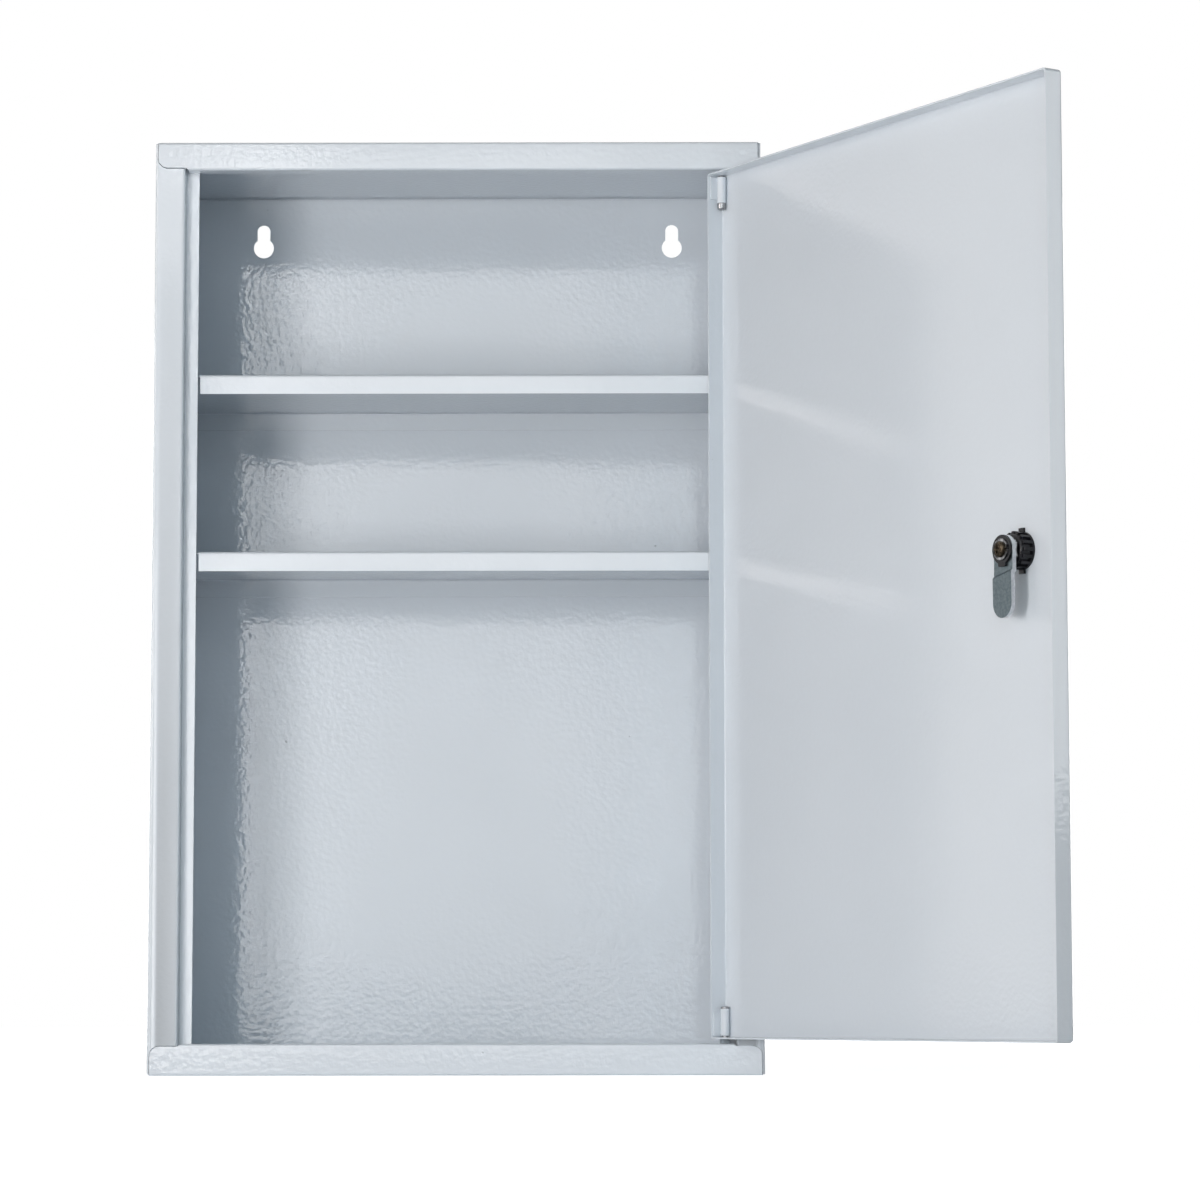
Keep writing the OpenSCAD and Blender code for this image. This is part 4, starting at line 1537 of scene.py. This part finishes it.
    def screw(self) -> Workpiece:
        """Models the cam screw: pan head with a crossed recess, and a shank with thread ridges.

        Returns:
            The piece, before it is placed.
        """
        seat = self.washer_low + self.washer_height
        r, top, shank = self.head_radius, seat + self.head_height, self.shank_radius
        tip = seat - self.shank_length
        outline = [(shank - 0.5, tip), (shank, tip + 0.4)]
        for index in range(self.thread_ridges):
            low = tip + 0.5 + index * self.thread_pitch
            outline += [(shank, low), (shank - self.thread_depth, low + 0.2), (shank, low + 0.4)]
        outline += [(shank, seat), (r - 0.12, seat), (r, seat + 0.15), (r, top - 1.1)]
        outline += [(r - 0.25, top - 0.6), (r - 0.8, top - 0.22), (r - 1.7, top - 0.04)]
        piece = Workpiece.turned("cross_head_screw", [*outline, (r - 2.4, top)], 56)
        long, wide, floor = self.recess_long, self.recess_wide, top - self.recess_depth
        for x, y in ((long, wide), (wide, long)):
            arm = Workpiece.block("recess", (-x, -y, floor), (x, y, top + 1))
            arm.pick(Pick.FACES, lambda p: near(p.z, floor))
            arm.stretch((self.recess_taper, self.recess_taper, 1), (0, 0, floor))
            piece.cut(arm)
        return piece.soften(0.07, 1)


# ---------------------------------------------------------------- studio


@dataclass(frozen=True)
class Lamp:
    """One rectangular lamp that faces the cabinet, in metres and watts."""

    name: str
    at: Point
    width: float
    height: float
    power: float
    tint: Colour
    mirrored: bool = True

    def hang(self, target: Point) -> None:
        """Hangs the lamp, aimed at a point.

        Args:
            target: The point.
        """
        data = bpy.data.lights.new(self.name, "AREA")
        data.shape = "RECTANGLE"
        data.size, data.size_y = self.width, self.height
        data.energy = self.power
        data.color = self.tint
        lamp = bpy.data.objects.new(self.name, data)
        bpy.context.scene.collection.objects.link(lamp)
        lamp.visible_glossy = self.mirrored
        lamp.location = self.at
        lamp.rotation_euler = (Vector(target) - Vector(self.at)).to_track_quat("-Z", "Y").to_euler()


NEUTRAL: Colour = (1.0, 1.0, 1.0)
MILD: Colour = (1.05, 1.0, 0.97)
WARM: Colour = (1.12, 1.0, 0.95)
COOL: Colour = (0.85, 1.0, 1.08)

LAMPS = (
    Lamp("key", (-0.415, -1.16, -0.38), 0.18, 0.26, 4.5, MILD, mirrored=False),
    Lamp("key_upper", (-0.40, -1.16, -0.16), 0.18, 0.22, 0.9, MILD, mirrored=False),
    Lamp("key_inner", (-0.28, -1.16, -0.27), 0.12, 0.44, 0.45, MILD),
    Lamp("key_outer", (-0.52, -1.16, -0.16), 0.12, 0.22, 1.05, MILD),
    Lamp("key_edge", (-0.64, -1.16, -0.16), 0.12, 0.22, 0.23, MILD),
    Lamp("key_top", (-0.30, -1.16, 0.28), 0.30, 0.22, 0.21, NEUTRAL),
    Lamp("front_left", (-0.302, -2.25, 0.02), 0.06, 1.0, 0.6, NEUTRAL),
    Lamp("front_low", (-0.10, -2.25, -0.22), 0.40, 0.45, 1.15, NEUTRAL),
    Lamp("front_high", (-0.10, -2.25, 0.26), 0.40, 0.45, 1.25, NEUTRAL),
    Lamp("front_right", (0.35, -2.25, 0.0), 0.40, 0.90, 2.6, COOL),
    Lamp("left", (-1.88, -1.15, 0.18), 0.80, 0.80, 6.5, WARM),
    Lamp("above", (0.15, -1.75, 1.21), 0.80, 0.80, 2.4, COOL),
    Lamp("right", (1.96, -0.99, 0.18), 0.80, 0.80, 5.6, NEUTRAL),
    Lamp("rear_left", (-1.5, 1.5, -0.2), 1.2, 1.0, 17.0, NEUTRAL),
    Lamp("rear_right", (0.9, 1.8, -0.1), 1.2, 1.0, 17.0, NEUTRAL),
)


@dataclass
class Studio:
    """Pale floor, white surroundings, soft lamps and the photograph's camera."""

    aim: Point = (0.0, -0.07, -0.2)
    camera_at: Point = (0.07538, -2.07296, -0.39817)
    camera_yaw: float = 0.00278
    camera_pitch: float = 0.10139
    camera_roll: float = 0.00095
    focal_mm: float = 119.083
    sensor_mm: float = 36.0
    sight: float = 20.0
    ambient: float = 0.03
    ambient_colour: Colour = (0.90, 0.95, 1.0)
    floor_size: float = 8.0
    floor_colour: Colour = (0.88, 0.89, 0.90)
    floor_shown: float = 0.78
    floor_fade: tuple[float, float] = (0.45, 1.6)
    floor_glow: float = 0.12

    def build(self) -> None:
        """Builds the studio: low soft key lamps on the left, and fills on every side."""
        self.world()
        self.floor()
        for lamp in LAMPS:
            lamp.hang(self.aim)
        self.camera()
        bpy.context.scene.view_settings.view_transform = "Standard"

    def world(self) -> None:
        """Surrounds the scene with white for the camera and mirror images, and dim light."""
        world = bpy.data.worlds.new("white_room")
        bpy.context.scene.world = world
        sketch = Sketch.fresh(world)
        rays = sketch.node("LightPath").outputs
        shown = sketch.maths("MAXIMUM", rays["Is Camera Ray"], rays["Is Glossy Ray"])
        shown = sketch.maths("MAXIMUM", shown, rays["Is Transmission Ray"])
        feeds = {"Color": self.ambient_colour, "Strength": self.ambient}
        light = sketch.node("Background", feeds).outputs[0]
        white = sketch.node("Background", {"Color": NEUTRAL, "Strength": 1.0}).outputs[0]
        mixed = sketch.node("MixShader", {0: shown, 1: light, 2: white})
        sketch.node("OutputWorld", {"Surface": mixed.outputs[0]})

    def floor(self) -> None:
        """Lays a pale floor under the cabinet; it looks white and keeps the shadow."""
        clear_bench()
        level = (SIZES.keyhole_drop - SIZES.height) * MM
        bpy.ops.mesh.primitive_plane_add(size=self.floor_size, location=(0, 0, level))
        floor = bpy.context.active_object
        floor.name = "studio_floor"
        material = bpy.data.materials.new("pale_floor")
        sketch = Sketch.fresh(material)
        matt = sketch.node("BsdfDiffuse", {"Color": self.floor_colour})
        where = sketch.node("TexCoord").outputs["Object"]
        away = sketch.node("VectorMath", {0: where}, operation="LENGTH").outputs["Value"]
        far = sketch.band(away, *self.floor_fade)
        bright = sketch.plus(sketch.times(far, 1 - self.floor_shown), self.floor_shown)
        seen = sketch.times(sketch.node("LightPath").outputs["Is Camera Ray"], bright)
        strength = sketch.maths("MAXIMUM", seen, self.floor_glow)
        glow = sketch.node("Emission", {"Strength": strength})
        both = sketch.node("AddShader", {0: matt.outputs[0], 1: glow.outputs[0]})
        sketch.node("OutputMaterial", {"Surface": both.outputs[0]})
        floor.data.materials.append(material)

    def camera(self) -> None:
        """Places the camera where the photograph's camera stood."""
        data = bpy.data.cameras.new("photo_camera")
        data.sensor_width = self.sensor_mm
        data.lens = self.focal_mm
        data.clip_end = self.sight
        camera = bpy.data.objects.new("photo_camera", data)
        bpy.context.scene.collection.objects.link(camera)
        camera.location = self.camera_at
        pitch = math.pi / 2 + self.camera_pitch
        camera.rotation_euler = (pitch, self.camera_roll, self.camera_yaw)
        bpy.context.scene.camera = camera


def main() -> None:
    """Builds the cabinet's sub-assemblies in order, then the studio."""
    Carcass().build()
    Shelving().build()
    door = DoorLeaf()
    door.build()
    place = Places.lock(door.lock_x, door.lock_z)
    LockFixed(place).build()
    LockCam(place).build()
    Studio().build()


if __name__ == "__main__":
    main()
